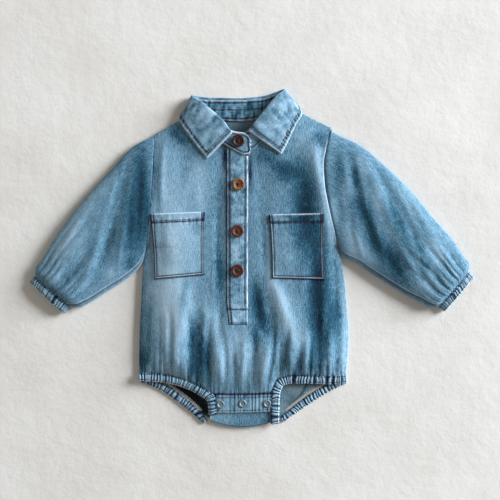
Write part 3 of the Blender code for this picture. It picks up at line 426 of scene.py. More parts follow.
def plaster(name):
    # Trowelled white plaster: chalky, hardly uneven in colour, with shallow scrapes that catch the light.
    material, tree, shader = startMaterial(name)
    place = addNode(tree, "ShaderNodeTexCoord").outputs["Object"]
    cloud = addNode(tree, "ShaderNodeTexNoise", Vector=place, Scale=9.0, Detail=6.0, Roughness=0.6).outputs[0]
    stops = ((0.35, "#E4E3E0"), (0.65, "#EFEFED"))
    colour = addNode(tree, "ShaderNodeValToRGB", {"stops": stops}, Fac=cloud).outputs[0]
    tree.links.new(colour, shader.inputs["Base Color"])
    scrapes = addNode(tree, "ShaderNodeTexNoise", Vector=place, Scale=55.0, Detail=8.0,
                      Roughness=0.66).outputs[0]
    bump = addNode(tree, "ShaderNodeBump", Height=scrapes, Strength=0.3, Distance=0.0022).outputs[0]
    tree.links.new(bump, shader.inputs["Normal"])
    shader.inputs["Roughness"].default_value = 0.95
    return material


washedDenim = denim("washedDenimTwill", denimLook)
trimDenim = denim("washedDenimTrim", denimLook, toneShift=-0.02, slubAmount=0.55)

# ------------------------------------------------------------- making a piece of cloth


def clothMesh(name, face, back, weave, paint, material, closed=False, present=None):
    # A closed thin shell between two grids of points, with a round rim. Faces of missing cells are left out.
    rows, columns = face.shape[:2]
    cells = columns if closed else columns - 1
    if present is None:
        present = np.ones((rows - 1, cells), bool)
    r, c = np.nonzero(present)
    ringRow = np.stack([r, r, r + 1, r + 1], axis=1)
    ringColumn = np.stack([c, c + 1, c + 1, c], axis=1)
    total = rows * columns
    outer = ringRow * columns + ringColumn % columns
    flatFace, flatBack = face.reshape(-1, 3), back.reshape(-1, 3)
    centres = flatFace[outer].mean(axis=1)
    middle = np.full(total, -1)
    outward = np.zeros((total, 3))
    edges = []
    for k, (dr, dc) in enumerate(((-1, 0), (0, 1), (1, 0), (0, -1))):
        nr, nc = r + dr, c + dc
        if closed:
            nc = nc % cells
        inGrid = (nr >= 0) & (nr < rows - 1) & (nc >= 0) & (nc < cells)
        there = np.zeros(len(r), bool)
        there[inGrid] = present[nr[inGrid], nc[inGrid]]
        open_ = ~there
        a, b = outer[open_, k], outer[open_, (k + 1) % 4]
        push = (flatFace[a] + flatFace[b]) / 2 - centres[open_]
        push /= np.maximum(np.linalg.norm(push, axis=1, keepdims=True), 1e-9)
        np.add.at(outward, a, push)
        np.add.at(outward, b, push)
        edges.append(np.stack([a, b, ringColumn[open_, k], ringColumn[open_, (k + 1) % 4]], axis=1))
    edges = np.concatenate(edges)
    rim = np.unique(edges[:, :2])
    middle[rim] = 2 * total + np.arange(len(rim))
    away = outward[rim] / np.maximum(np.linalg.norm(outward[rim], axis=1, keepdims=True), 1e-9)
    thick = np.linalg.norm(flatFace[rim] - flatBack[rim], axis=1, keepdims=True)
    rimPoints = (flatFace[rim] + flatBack[rim]) / 2 + away * thick * 0.45
    a, b = edges[:, 0], edges[:, 1]
    quads = np.concatenate([
        outer,
        outer[:, ::-1] + total,
        np.stack([a, middle[a], middle[b], b], axis=1),
        np.stack([middle[a], a + total, b + total, middle[b]], axis=1)])
    points = np.concatenate([flatFace, flatBack, rimPoints]) * millimetre
    used = np.unique(quads)
    renumber = np.full(len(points), -1)
    renumber[used] = np.arange(len(used))
    mesh = bpy.data.meshes.new(name)
    mesh.from_pydata(points[used].tolist(), [], renumber[quads].tolist())
    mesh.polygons.foreach_set("use_smooth", np.ones(len(quads), bool))
    wide = np.concatenate([weave, weave[:, :1]], axis=1) if closed and weave.shape[1] == columns else weave
    places = np.concatenate([
        wide[ringRow, ringColumn],
        wide[ringRow, ringColumn][:, ::-1]])
    edgeRow, edgeColumn = edges[:, :2] // columns, edges[:, 2:]
    ends = wide[edgeRow, edgeColumn]
    rimPlaces = ends[:, [0, 0, 1, 1]]
    places = np.concatenate([places, rimPlaces, rimPlaces])
    layer = mesh.uv_layers.new(name="weave")
    layer.uv.foreach_set("vector", places.reshape(-1).astype(np.float32))
    for key in ("tone", "worn", "ink", "inside"):
        values = np.broadcast_to(paint.get(key, 0.0), (rows, columns)).reshape(-1).astype(float)
        plain = {"tone": paint["tone"], "inside": paint.get("lining", 1.0)}.get(key, 0.0)
        under = paint.get("lined" + key.capitalize(), plain)
        under = np.broadcast_to(under, (rows, columns)).reshape(-1).astype(float)
        rimValues = (values[rim] + under[rim]) / 2 if key == "inside" else values[rim]
        attribute = mesh.attributes.new(key, "FLOAT", "POINT")
        attribute.data.foreach_set("value", np.concatenate([values, under, rimValues])[used].astype(np.float32))
    mesh.materials.append(material)
    shape = bmesh.new()
    shape.from_mesh(mesh)
    bmesh.ops.recalc_face_normals(shape, faces=shape.faces)
    shape.to_mesh(mesh)
    shape.free()
    piece = bpy.data.objects.new(name, mesh)
    bpy.context.scene.collection.objects.link(piece)
    return piece


def sewIn(piece, nodes):
    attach(piece, "root")
    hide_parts(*nodes)


def stitch(grid, rows, columns, colour, lift=0.12, up=None):  # a line of sewing over a grid of points
    normals = up if up is not None else gridNormals(grid)
    points, normal = onGrid(grid, rows, columns), onGrid(normals, rows, columns)
    if normal[:, 2].mean() < 0:
        normal = -normal
    points = points + normal * lift
    points[:, 2] = np.maximum(points[:, 2], 0.5)
    stitchLines[colour].append((points, normal))


# ------------------------------------------------------------- front

frontLook = {
    "columns": (91, 22, 105),  # right of the placket, under it, left of it
    "rowsBelow": 56,
    "rowsAbove": 112,
    "gatherDepth": 1.0,
    "undulation": 0.4,
}
# Creases that are too small for the frame: x0 y0 x1 y1 width height bow.
frontCreases = table("x0 y0 x1 y1 width height bow",
                     (-76, -66, -74, -138, 4, -1.5, 2), (-52, -84, -50, -146, 4, -1.3, -2),
                     (-57, -60, -58, -118, 5, 1.6, 1), (-99, -64, -101, -132, 4, -1.2, 2),
                     (-124, -50, -125, -125, 4, -1.0, -1), (-80, -34, -82, -90, 7, 1.0, 3),
                     (-33, -96, -31, -150, 3, -1.1, 1), (-22, -104, -20, -152, 3, -1.0, 0),
                     (-10, -92, -12, -150, 4, 1.2, 1), (27, -84, 20, -148, 3, -1.6, 1),
                     (44, -86, 38, -136, 3, -1.2, -1), (66, -86, 62, -132, 4, 1.1, 2),
                     (72, -96, 69, -134, 3, -1.4, 0), (90, -72, 88, -132, 4, -1.2, -2),
                     (105, -60, 103, -130, 4, -1.1, 1), (86, -40, 84, -90, 5, 0.8, 2),
                     (-106, 140, -108, 70, 5, 1.1, -2), (-112, 130, -114, 60, 3, -0.9, -2),
                     (76, 134, 97, 26, 8, 2.8, 3), (58, 112, 62, 12, 14, -2.0, 3),
                     (76, 26, 76, -100, 10, -1.8, 0), (-96, 100, -96, -100, 22, 1.2, 0),
                     (-38, 116, -37, -44, 9, -1.4, 0), (24, -24, 48, -96, 8, 2.2, 2),
                     (4, -30, 18, -90, 8, -1.6, -2), (-84, 132, -92, 84, 8, -0.9, 3),
                     (10, 60, 14, -20, 4, -0.9, 2), (-40, 60, -42, -20, 4, -0.9, -2),
                     (-46, 40, -47, -40, 3, 0.6, 1), (98, 20, 102, -60, 4, -1.0, 1),
                     (3, -30, 12, -80, 5, -0.9, 1), (-36, -50, -38, -96, 4, -0.9, -1))
# Painted light and shade over the front, laid over the folds in the same way, in six strengths, with painted shade
# beside the armholes and under the collar.
faint, pale, bright = 0.1, 0.2, 0.3
dim, dark, deep = -0.13, -0.26, -0.38
frontPaintedShading = table("x0 y0 x1 y1 width height bow",
                    (-96, 110, -94, -104, 26, pale, 0), (-104, -20, -98, -104, 14, bright, 0),
                    (76, 130, 98, 24, 7, pale, 3), (24, -24, 48, -96, 9, pale, 2),
                    (-26, -86, -20, -140, 26, pale, 0), (50, 146, 68, 140, 10, faint, 0),
                    (58, 110, 60, 14, 17, dark, 4), (79, 30, 81, -104, 14, deep, 0),
                    (36, 114, 44, 96, 14, dark, 0), (-38, 118, -37, -48, 10, faint, 0),
                    (-65, -76, -62, -150, 10, deep, 0), (4, -30, 18, -90, 9, dark, -2),
                    (34, -132, 78, -128, 15, dim, 0), (-86, 148, -58, 116, 7, dim, 0),
                    (2, 130, 38, 110, 9, dark, 0), (-128, 110, -134, -120, 8.5, dim, 0),
                    (22, 40, 28, -40, 12, faint, 0), (-121, 132, -118, 70, 7.5, dark, 0),
                    (-62, 120, -60, 60, 8, pale, 0), (-40, 10, -38, -48, 6.5, dark, 2),
                    (98, -46, 100, -100, 9.5, dark, 2), (112, -40, 113, -138, 6.5, pale, 0),
                    (60, -78, 59, -104, 7.5, pale, 1), (15, -108, 11, -140, 7.5, pale, 1),
                    (2, -78, 4, -108, 5, dark, 1), (-80, -18, -80, -64, 5, dark, -2),
                    (-106, -116, -103, -138, 7.5, pale, 1), (-130, -108, -131, -138, 6, dark, 0),
                    (-124, 4, -125, -54, 8.5, pale, 0), (-45, -62, -42, -92, 7.5, pale, 1),
                    (-98, 164, -84, 138, 7.5, dark, 0), (74, 152, 86, 138, 8, dark, 0))

# Painted shadow beside the placket's edges: broad at its top, thin lines lower down.
frontPlacketShadow = table("x0 y0 x1 y1 width height",
                 (-32.8, 139, -32.6, 108, 3.4, 0.95), (-2.2, 127, -1.6, 84, 3.2, 0.95),
                 (-32.0, 104, -32.0, 40, 1.0, 0.35), (-2.6, 76, -2.8, -30, 0.9, 0.3))


def legShare(x, seam):  # how far along a leg seam the front's hem is at x
    steps = np.linspace(0, 1, 200)
    path = along(seam, "x y", steps)
    order = np.argsort(path[:, 0])
    return np.interp(x, path[order, 0], steps[order])


def frontBase(x, y):
    fromRight = rounded(x - read(sideRight, "y", "x", y), softEdge)
    fromLeft = rounded(read(sideLeft, "y", "x", y) - x, softEdge)
    middle = read(bodyHeight, "y", "z", y)
    edgeRight = sideEdge + armholeRise * armholeOpen(y, 15, 150)
    edgeLeft = sideEdge + armholeRise * armholeOpen(y, 16, 158)
    height = middle + (edgeRight - middle) * (1 - fromRight) + (edgeLeft - middle) * (1 - fromLeft)
    height = height + folds(frontFolds, x, y) * fromRight * fromLeft
    belowTop = rounded(read(frontTop, "x", "y", x) - y, topRoll)
    height = read(topHeight, "x", "z", x) * (1 - belowTop) + height * belowTop
    hemEdge = hemHeight + (sideEdge - hemHeight) * (1 - fromRight * fromLeft)
    aboveHem = rounded(y - read(frontHem, "x", "y", x), hemRoll)
    return hemEdge * (1 - aboveHem) + height * aboveHem


def frontRelief(x, y):
    # What the cloth does between the large folds: creases, slack, and the gathers above each leg.
    fromSide = np.clip(np.minimum(x - read(sideRight, "y", "x", y), read(sideLeft, "y", "x", y) - x) / 12, 0, 1)
    fromTop = np.clip((read(frontTop, "x", "y", x) - y) / 14, 0, 1)
    relief = folds(frontCreases, x, y)
    slack = softNoise(x, y / 2.4, 13, 3) + 0.5 * softNoise(x, y / 2.0, 6, 4)
    relief += frontLook["undulation"] * slack * (0.5 + 0.5 * np.clip(-y / 90, -0.4, 1))
    relief = relief * fromSide * fromTop
    above = np.maximum(y - read(frontHem, "x", "y", x), 0)
    for seam, count, seed, onLeg in ((legSeamRight, 29, 21, x < -47), (legSeamLeft, 33, 22, x > 27)):
        share = legShare(x, seam)
        near = gathers(share, count, seed, jitter=0.85) * np.exp(-above / 9)
        middle = gathers(share, count / 2.6, seed + 5) * np.exp(-above / 24) * np.clip(above / 6, 0, 1)
        far = gathers(share, count / 5.2, seed + 9) * np.exp(-above / 46) * np.clip(above / 18, 0, 1)
        relief += onLeg * frontLook["gatherDepth"] * (0.8 * near + 0.8 * middle + 0.5 * far)
    share = (x + 44) / 68
    onBand = np.clip((x + 50) / 5, 0, 1) * np.clip((30 - x) / 5, 0, 1)
    relief += onBand * (0.35 * gathers(share, 13, 31) * np.exp(-above / 10) + 0.25 * gathers(share, 6, 32) *
                        np.exp(-above / 34) * np.clip(above / 8, 0, 1))
    return relief


def frontHeight(x, y):
    return frontBase(x, y) + frontRelief(x, y)


def frontTone(x, y):
    # Tone follows the heights of the folds, creases and slack: lighter on ridges, darker in troughs, partly the wash's
    # wear and partly painted light and shade.
    relief = folds(frontCreases, x, y) + 0.8 * folds(frontFolds, x, y)
    slack = frontRelief(x, y)
    wandering = x + 2.2 * softNoise(x, y / 1.6, 17, 5)
    drawnUp = np.exp(-np.maximum(y - read(frontHem, "x", "y", x), 0) / 20)
    slack = (0.06 + 0.07 * drawnUp) * np.clip(slack, -2.5, 2.5)
    # Painted light and shade from the front's table, its bands made to wander a little.
    paintedShading = np.clip(folds(frontPaintedShading, wandering, y), -0.36, 0.34)
    return 0.48 + 0.04 * np.clip(relief, -3, 3) + slack + paintedShading


def makeFront():
    fractions = [("right", f) for f in np.linspace(0, 1, frontLook["columns"][0] + 1)]
    fractions += [("slot", f) for f in np.linspace(0, 1, frontLook["columns"][1] + 1)[1:-1]]
    fractions += [("left", f) for f in np.linspace(1, 0, frontLook["columns"][2] + 1)]
    part = np.array([f for _, f in fractions])
    isRight = np.array([name == "right" for name, _ in fractions])
    isLeft = np.array([name == "left" for name, _ in fractions])

    def xAt(y):
        left, right = read(slotLeft, "y", "x", y), read(slotRight, "y", "x", y)
        rightSide, leftSide = read(sideRight, "y", "x", y), read(sideLeft, "y", "x", y)
        inSlot = left + part * (right - left)
        return np.where(isRight, rightSide + part * (left - rightSide),
                        np.where(isLeft, leftSide + part * (right - leftSide), inSlot))

    low, high = np.full(len(part), -150.0), np.full(len(part), 140.0)
    for _ in range(14):
        low = read(frontHem, "x", "y", xAt(low))
        high = read(frontTop, "x", "y", xAt(high))
    below = np.linspace(0, 1, frontLook["rowsBelow"] + 1) ** 1.15
    above = np.linspace(0, 1, frontLook["rowsAbove"] + 1)[1:]
    y = np.concatenate([low + below[:, None] * (slotFoot - low), slotFoot + above[:, None] * (high - slotFoot)])
    x = xAt(y)
    face = np.stack([x, y, frontHeight(x, y)], axis=-1)
    back = face - gridNormals(face) * cloth
    present = np.ones((face.shape[0] - 1, face.shape[1] - 1), bool)
    first = frontLook["columns"][0]
    present[frontLook["rowsBelow"]:, first:first + frontLook["columns"][1]] = False
    fromSide = np.minimum(x - read(sideRight, "y", "x", y), read(sideLeft, "y", "x", y) - x)
    above = y - read(frontHem, "x", "y", x)
    byArmhole = np.clip((y - 14) / 10, 0, 1)
    patchy = np.clip(0.55 + 0.6 * softNoise(x, y, 5, 6), 0, 1)
    worn = 0.5 * patchy * np.exp(-(fromSide / 0.8) ** 2) * byArmhole
    ink = 0.2 * np.exp(-((fromSide - 2.6) / 1.0) ** 2) * byArmhole + (0.2 + 0.7 * patchy) * np.exp(-(above / 1.4) ** 2)
    # Dark in the valleys of the gathers above the hem, partly indigo the wash left and partly painted shade, plus the
    # painted shadow beside the placket.
    ink += 0.9 * np.clip(-frontRelief(x, y) - 0.2, 0, 1) * np.exp(-above / 12) + folds(frontPlacketShadow, x, y)
    paint = {"tone": frontTone(x, y), "worn": worn, "ink": np.clip(ink, 0, 1)}
    weave = np.stack([x, y], axis=-1)
    piece = clothMesh("front", face, back, weave, paint, washedDenim,
                      present=present)
    sewIn(piece, ["front_panel"])
    return face


# ------------------------------------------------------------- back

backLook = {"across": 110, "flapRows": 6, "foldRows": 12, "legRows": 34, "sideRows": 130}
backCreases = table("x0 y0 x1 y1 width height bow",
                    (-60, 60, -84, -110, 7, 0.5, 6), (34, 90, 70, -100, 8, 0.5, -6), (-20, -40, -26, -150, 6, 0.6, 3),
                    (-96, 40, -108, -80, 6, 0.4, 3), (72, 40, 92, -60, 6, 0.4, -3), (4, 110, 10, -20, 9, 0.4, 4),
                    (-70, -110, -40, -176, 5, 0.6, 2), (52, -116, 26, -176, 5, 0.6, -2))


# Shade and seams on the inside, where the leg holes show it.
insideShades = table("x0 y0 x1 y1 width height bow",
                     (-112, -140, -50, -186, 15, -0.75, 0), (-96, -158, -62, -184, 3, 0.5, 2),
                     (70, -140, 46, -176, 2, -0.4, 4), (100, -140, 50, -138, 5, -0.5, 0))


def backTop(across):
    neckStart, neckEnd = 0.18, 0.82
    points = []
    for part in across:
        if part <= neckStart:
            points.append(along(shoulderRight, "x y", part / neckStart))
        elif part < neckEnd:
            points.append(along(backNeck, "x y", (part - neckStart) / (neckEnd - neckStart)))
        else:
            points.append(along(shoulderLeft, "x y", (part - neckEnd) / (1 - neckEnd)))
    return np.array(points)


def makeBack():
    rightFlap = np.stack([flapEnds["right_x"], flapEnds["right_y"]], axis=-1)
    leftFlap = np.stack([flapEnds["left_x"], flapEnds["left_y"]], axis=-1)
    right, left, height, sag, rise, sides = [], [], [], [], [], []
    for step in np.linspace(0, 1, backLook["flapRows"], endpoint=False):
        right.append(rightFlap[0] + step * (rightFlap[1] - rightFlap[0]))
        left.append(leftFlap[0] + step * (leftFlap[1] - leftFlap[0]))
        height.append(foldRadius * 2)
        sag.append(0.4 + 0.6 * step)
        rise.append(0.0)
        sides.append(0.0)
    for angle in np.linspace(math.pi / 2, -math.pi / 2, backLook["foldRows"]):
        drop = np.array([0.0, -math.cos(angle) * foldRadius])
        right.append(rightFlap[1] + drop)
        left.append(leftFlap[1] + drop)
        height.append(foldRadius + math.sin(angle) * foldRadius)
        sag.append(1.0)
        rise.append(0.0)
        sides.append(0.0)
    firstStep = 1 / 7  # below this the leg's edge runs straight on from the fold
    for step in np.linspace(0, 1, backLook["legRows"] + 1)[1:]:
        for ends, flapEnd, seam in ((right, rightFlap[1], backLegRight), (left, leftFlap[1], backLegLeft)):
            nearFold = flapEnd + (along(seam, "x y", firstStep) - flapEnd) * step / firstStep
            ends.append(nearFold if step < firstStep else along(seam, "x y", step))
        height.append(0.0)
        sag.append((1 - step) ** 2)
        rise.append(0.0)
        sides.append(0.0)
    for step in np.linspace(0, 1, backLook["sideRows"] + 1)[1:]:
        rightY, leftY = -140.5 + step * 290.5, -142.5 + step * 300.5
        right.append(np.array([float(read(sideRight, "y", "x", rightY)), rightY]))
        left.append(np.array([float(read(sideLeft, "y", "x", leftY)), leftY]))
        height.append(0.0)
        sag.append(0.0)
        rise.append(step ** 2)
        sides.append(1.0)
    right, left = np.array(right), np.array(left)
    even = np.linspace(0, 1, backLook["across"] + 1)
    across = even - 0.35 * np.sin(2 * math.pi * even) / (2 * math.pi)  # closer together at the rolled edges
    top = backTop(across)
    topRise = top - (right[-1] + across[:, None] * (left[-1] - right[-1]))
    plan = right[:, None, :] + across[None, :, None] * (left - right)[:, None, :]
    plan = plan + np.array(rise)[:, None, None] * topRise[None, :, :]
    plan[:, :, 1] -= np.array(sag)[:, None] * flapSag * (4 * across * (1 - across))[None, :]
    wide = np.linalg.norm(left - right, axis=1)[:, None]
    fromEdge = np.minimum(across, 1 - across)[None, :] * wide
    turnedUp = backRoll * (1 - np.clip(fromEdge / backRollWidth, 0, 1)) ** 2
    x, y = plan[:, :, 0], plan[:, :, 1]
    resting = (np.array(height) == 0)[:, None] * np.clip(fromEdge / 20, 0, 1) * np.clip((y + 200) / 20, 0, 1)
    lifted = np.clip(folds(backCreases, x, y) + 0.25 * softNoise(x, y / 1.8, 16, 8), 0, 0.8)
    z = np.array(height)[:, None] + turnedUp * np.array(sides)[:, None] + lifted * resting
    face = np.concatenate([plan, z[:, :, None]], axis=2)
    back = face + gridNormals(face) * cloth
    length = np.concatenate([[0], np.cumsum(np.linalg.norm(np.diff(face[:, len(across) // 2], axis=0), axis=1))])
    weave = np.stack([x, np.broadcast_to(length[:, None], x.shape)], axis=-1)
    worn = 0.7 * np.exp(-(fromEdge / 1.2) ** 2)
    tone = 0.5 - 0.08 * lifted + 0.10 * softNoise(x, y, 50, 9)
    linedTone = 0.5 + folds(insideShades, x, y) + 0.12 * softNoise(x, y, 12, 10)
    paint = {"tone": tone, "worn": worn, "linedTone": linedTone}
    piece = clothMesh("back", face, back, weave, paint, washedDenim)
    sewIn(piece, ["back_panel"])
    legRow = backLook["flapRows"] + backLook["foldRows"]
    rows = np.linspace(legRow + 5, legRow + backLook["legRows"] - 2, 260)
    for edgeColumn, inward in ((0, 1), (backLook["across"], -1)):
        for distance in (1.6, 4.0):
            reach = np.interp(rows, np.arange(len(wide)), distance / wide[:, 0]) * backLook["across"] * 1.6
            stitch(back, rows, edgeColumn + inward * reach, "overlock")
    return face, back


# ------------------------------------------------------------- sleeves and cuffs

sleeveLook = {"stations": 125, "around": 168, "gathers": 16, "gatherDepth": 1.1, "undulation": 0.34}
sleeveRightCreases = table("x0 y0 x1 y1 width height bow",
                           (-150, 128, -172, 70, 4, 1.5, 2), (-158, 116, -176, 40, 3, -1.3, 3),
                           (-138, 108, -146, 20, 4, -1.3, -3), (-146, 60, -160, -16, 4, 1.3, -2),
                           (-126, 100, -132, 20, 3, 1.1, -2), (-186, 76, -214, 24, 5, -1.1, 2),
                           (-170, 30, -196, -30, 4, -1.3, 2), (-184, 20, -206, -30, 4, 1.2, 2),
                           (-214, 46, -246, 2, 4, -1.0, 1), (-205, -4, -232, -38, 3, -1.6, 1),
                           (-216, 4, -240, -26, 3, 1.4, 1), (-190, -16, -218, -46, 3, 1.2, 1),
                           (-226, 20, -248, -14, 3, -1.2, 1), (-240, 2, -252, -16, 2.5, -1.1, 0),
                           (-196, 66, -228, 26, 6, 0.9, -2), (-162, 84, -186, 18, 5, 1.2, 3))
sleeveLeftCreases = table("x0 y0 x1 y1 width height bow",
                          (108, 140, 118, 84, 4, 1.2, -2), (124, 120, 138, 48, 4, 1.4, 2),
                          (138, 60, 160, -4, 4, 1.2, 2), (146, 116, 172, 50, 4, -1.4, 2),
                          (160, 84, 196, 6, 4, 1.4, 3), (166, 104, 206, 30, 4, -1.2, 3),
                          (180, 84, 226, 12, 5, 1.0, 3), (112, 80, 122, 10, 4, -1.2, 2),
                          (120, 40, 134, 0, 3, 1.0, 1), (186, 8, 216, -36, 4, -1.5, 1),
                          (198, 8, 228, -30, 3, 1.4, 1), (206, 24, 236, -24, 3, -1.2, 1),
                          (224, 18, 244, -18, 3, 1.1, 1), (160, 4, 186, -34, 4, -1.1, 1),
                          (170, 26, 198, -26, 4, 1.1, 2), (244, 8, 254, -12, 2.5, -1.1, 0))
# Painted light and shade over each sleeve, in the same strengths as the front, with painted shade beside the armhole
# seams.
sleeveRightPaintedShading = table("x0 y0 x1 y1 width height bow",
                          (-172, 100, -214, 58, 12, bright, -2), (-210, 62, -250, -16, 13, bright, -3),
                          (-182, 40, -216, -4, 10, faint, -2), (-131, 136, -129, -4, 10.5, deep, 0),
                          (-150, 60, -156, 0, 8, dim, 0), (-226, -18, -240, -36, 8, faint, 0),
                          (-211, 42, -226, 8, 6, pale, -1), (-187, 42, -196, 8, 8, dim, -1),
                          (-174, -8, -166, -24, 8, pale, 1), (-146, 2, -143, -14, 6, dark, 0),
                          (-190, -24, -202, -40, 7, faint, 1), (-145, 80, -143, 6, 8, dark, 0))
sleeveLeftPaintedShading = table("x0 y0 x1 y1 width height bow",
                         (112, 44, 132, 2, 9, pale, 0), (124, 78, 150, 20, 10, dark, 3),
                         (150, 22, 180, -26, 11, deep, 3), (146, 84, 154, 48, 6, pale, 0),
                         (162, 70, 188, 10, 8, dark, 3), (200, 28, 224, -8, 9, faint, 2),
                         (124, 122, 136, 104, 9, pale, 0), (104, 130, 108, 80, 8, dim, 0),
                         (176, 90, 196, 54, 8, pale, 0), (97, 72, 99, 42, 6.5, pale, 0),
                         (112, 94, 114, 68, 6.5, pale, 0), (121, 122, 124, 88, 6, dark, 1),
                         (195, 27, 208, -12, 7, dark, 1), (216, 22, 225, -2, 6.5, pale, 1),
                         (131, 10, 141, -8, 8.5, pale, 0), (204, -24, 215, -46, 8, pale, 1),
                         (118, 22, 128, -8, 9, pale, 0))


def flatRings(upper, lower, height, inset, count):
    # Flattened sections of a tube, each over the top from its upper edge to its lower one and back below.
    angle = np.linspace(0, 2 * math.pi, count, endpoint=False)
    part = 0.5 - 0.5 * np.cos(angle)
    reach = lower - upper
    away = reach / np.linalg.norm(reach, axis=1, keepdims=True)
    start = upper + away * inset
    plan = start[:, None, :] + part[None, :, None] * (reach - 2 * inset * away)[:, None, :]
    lift = np.abs(np.sin(angle))
    edge = np.minimum(4.2, 0.45 * height)[:, None]
    over = np.sin(angle) >= 0
    top = edge + (height[:, None] - inset - edge) * lift ** 0.8
    under = inset + (edge - inset) * (1 - lift ** 0.4)
    z = np.where(over, top, under)
    return np.concatenate([plan, z[:, :, None]], axis=2), np.where(over, lift, 0.0), part


def makeSleeve(name, node, sections, foldRows, creaseRows, paintedShadingRows, side, outward, seed):
    stations = np.linspace(0, 1, sleeveLook["stations"] + 1)
    stations = stations + 0.06 * np.sin(math.pi * stations) ** 2 * stations
    stations = stations / stations[-1]
    rows = along(sections, "ux uy lx ly height", stations)
    upper, lower, height = rows[:, :2], rows[:, 2:4], rows[:, 4]
    nearArmhole = np.maximum(0.0, 1 - stations / 0.2) ** 2
    away = np.sin(math.pi * np.clip(stations, 0, 1)) ** 0.5
    shells = []
    for inset in (0.0, cloth):
        ring, topness, part = flatRings(upper, lower, height, inset, sleeveLook["around"])
        y = rows[:, 1:2] + part[None, :] * (rows[:, 3:4] - rows[:, 1:2])
        straight = rows[:, 0:1] + part[None, :] * (rows[:, 2:3] - rows[:, 0:1])
        onSeam = read(side, "y", "x", y) + outward * seamAllowance * 0.5
        ring[:, :, 0] += (onSeam - straight) * nearArmhole[:, None]
        x, y = ring[:, :, 0], ring[:, :, 1]
        relief = folds(creaseRows, x, y) + 0.0 * x
        slack = softNoise(x + outward * y * 0.4, y / 2.0, 15, seed) + 0.25 * softNoise(x, y, 6, seed + 1)
        relief += sleeveLook["undulation"] * slack
        big = folds(foldRows, x, y)
        gathered = np.maximum(0.0, (stations - 0.76) / 0.24)[:, None]
        across = np.broadcast_to(part[None, :], x.shape)
        fine = gathers(across, sleeveLook["gathers"], seed + 2) * gathered ** 2.2
        coarse = gathers(across, sleeveLook["gathers"] / 2, seed + 3) * np.sin(math.pi * gathered ** 1.3)
        far = gathers(across, 4, seed + 4) * np.sin(math.pi * np.clip((stations - 0.5) / 0.5, 0, 1))[:, None]
        full = 0.8 * fine + 0.8 * coarse + 0.6 * far
        relief = 0.75 * relief
        lift = (big + relief) * away[:, None] + sleeveLook["gatherDepth"] * full
        ring[:, :, 2] += lift * topness[None, :]
        tuck = 1.6 * np.exp(-(stations * 190 / 2.4) ** 2)[:, None]  # the sleeve dips into the armhole seam
        ring[:, :, 2] -= tuck * topness[None, :]
        shells.append(ring)
    face, back = shells
    x, y = face[:, :, 0], face[:, :, 1]
    over = np.broadcast_to(np.sqrt(topness)[None, :], x.shape)
    lift = big * 0.7 + relief + sleeveLook["gatherDepth"] * full
    wandering = x + 2.2 * softNoise(x, y / 1.6, 17, seed + 5)
    # Tone is lighter on ridges and darker in hollows, partly wear and partly painted light and shade, plus the sleeve's
    # painted light and shade, on the top only.
    tone = 0.46 + 0.06 * np.clip(lift, -3, 3) * over + np.clip(folds(paintedShadingRows, wandering, y), -0.36, 0.3) * over
    around = np.linalg.norm(np.roll(face, -1, axis=1) - face, axis=2)
    girth = np.concatenate([np.zeros((len(stations), 1)), np.cumsum(around, axis=1)], axis=1)
    lengthwise = np.concatenate([[0], np.cumsum(np.linalg.norm(np.diff((upper + lower) / 2, axis=0), axis=1))])
    weave = np.stack([girth, np.broadcast_to(lengthwise[:, None], girth.shape)], axis=-1)
    fromLower = np.linalg.norm(lower - upper, axis=1)[:, None] * (1 - part)[None, :]
    isOver = (np.sin(np.linspace(0, 2 * math.pi, sleeveLook["around"], endpoint=False)) >= -0.2)[None, :]
    worn = 0.6 * np.exp(-((fromLower - 6.0) / 0.8) ** 2) * isOver + 0.45 * np.exp(-(fromLower / 1.2) ** 2)
    ink = 0.7 * np.exp(-((fromLower - 4.6) / 0.8) ** 2) * isOver
    # Dark along the armhole seam and in the gathers' valleys by the cuff, partly indigo and partly painted shade.
    ink = ink + 0.5 * np.exp(-((lengthwise[:, None] - 0.5) / 1.4) ** 2) * over
    ink = ink + 0.7 * np.clip(-full, 0, 1) * gathered ** 2 * over
    paint = {"tone": tone, "worn": worn, "ink": np.clip(ink, 0, 1)}
    piece = clothMesh(name, face, back, weave, paint, washedDenim, closed=True)
    sewIn(piece, [node])
    return face


cuffLook = {"rows": 18, "around": 224, "gathers": 40, "depth": 0.8}


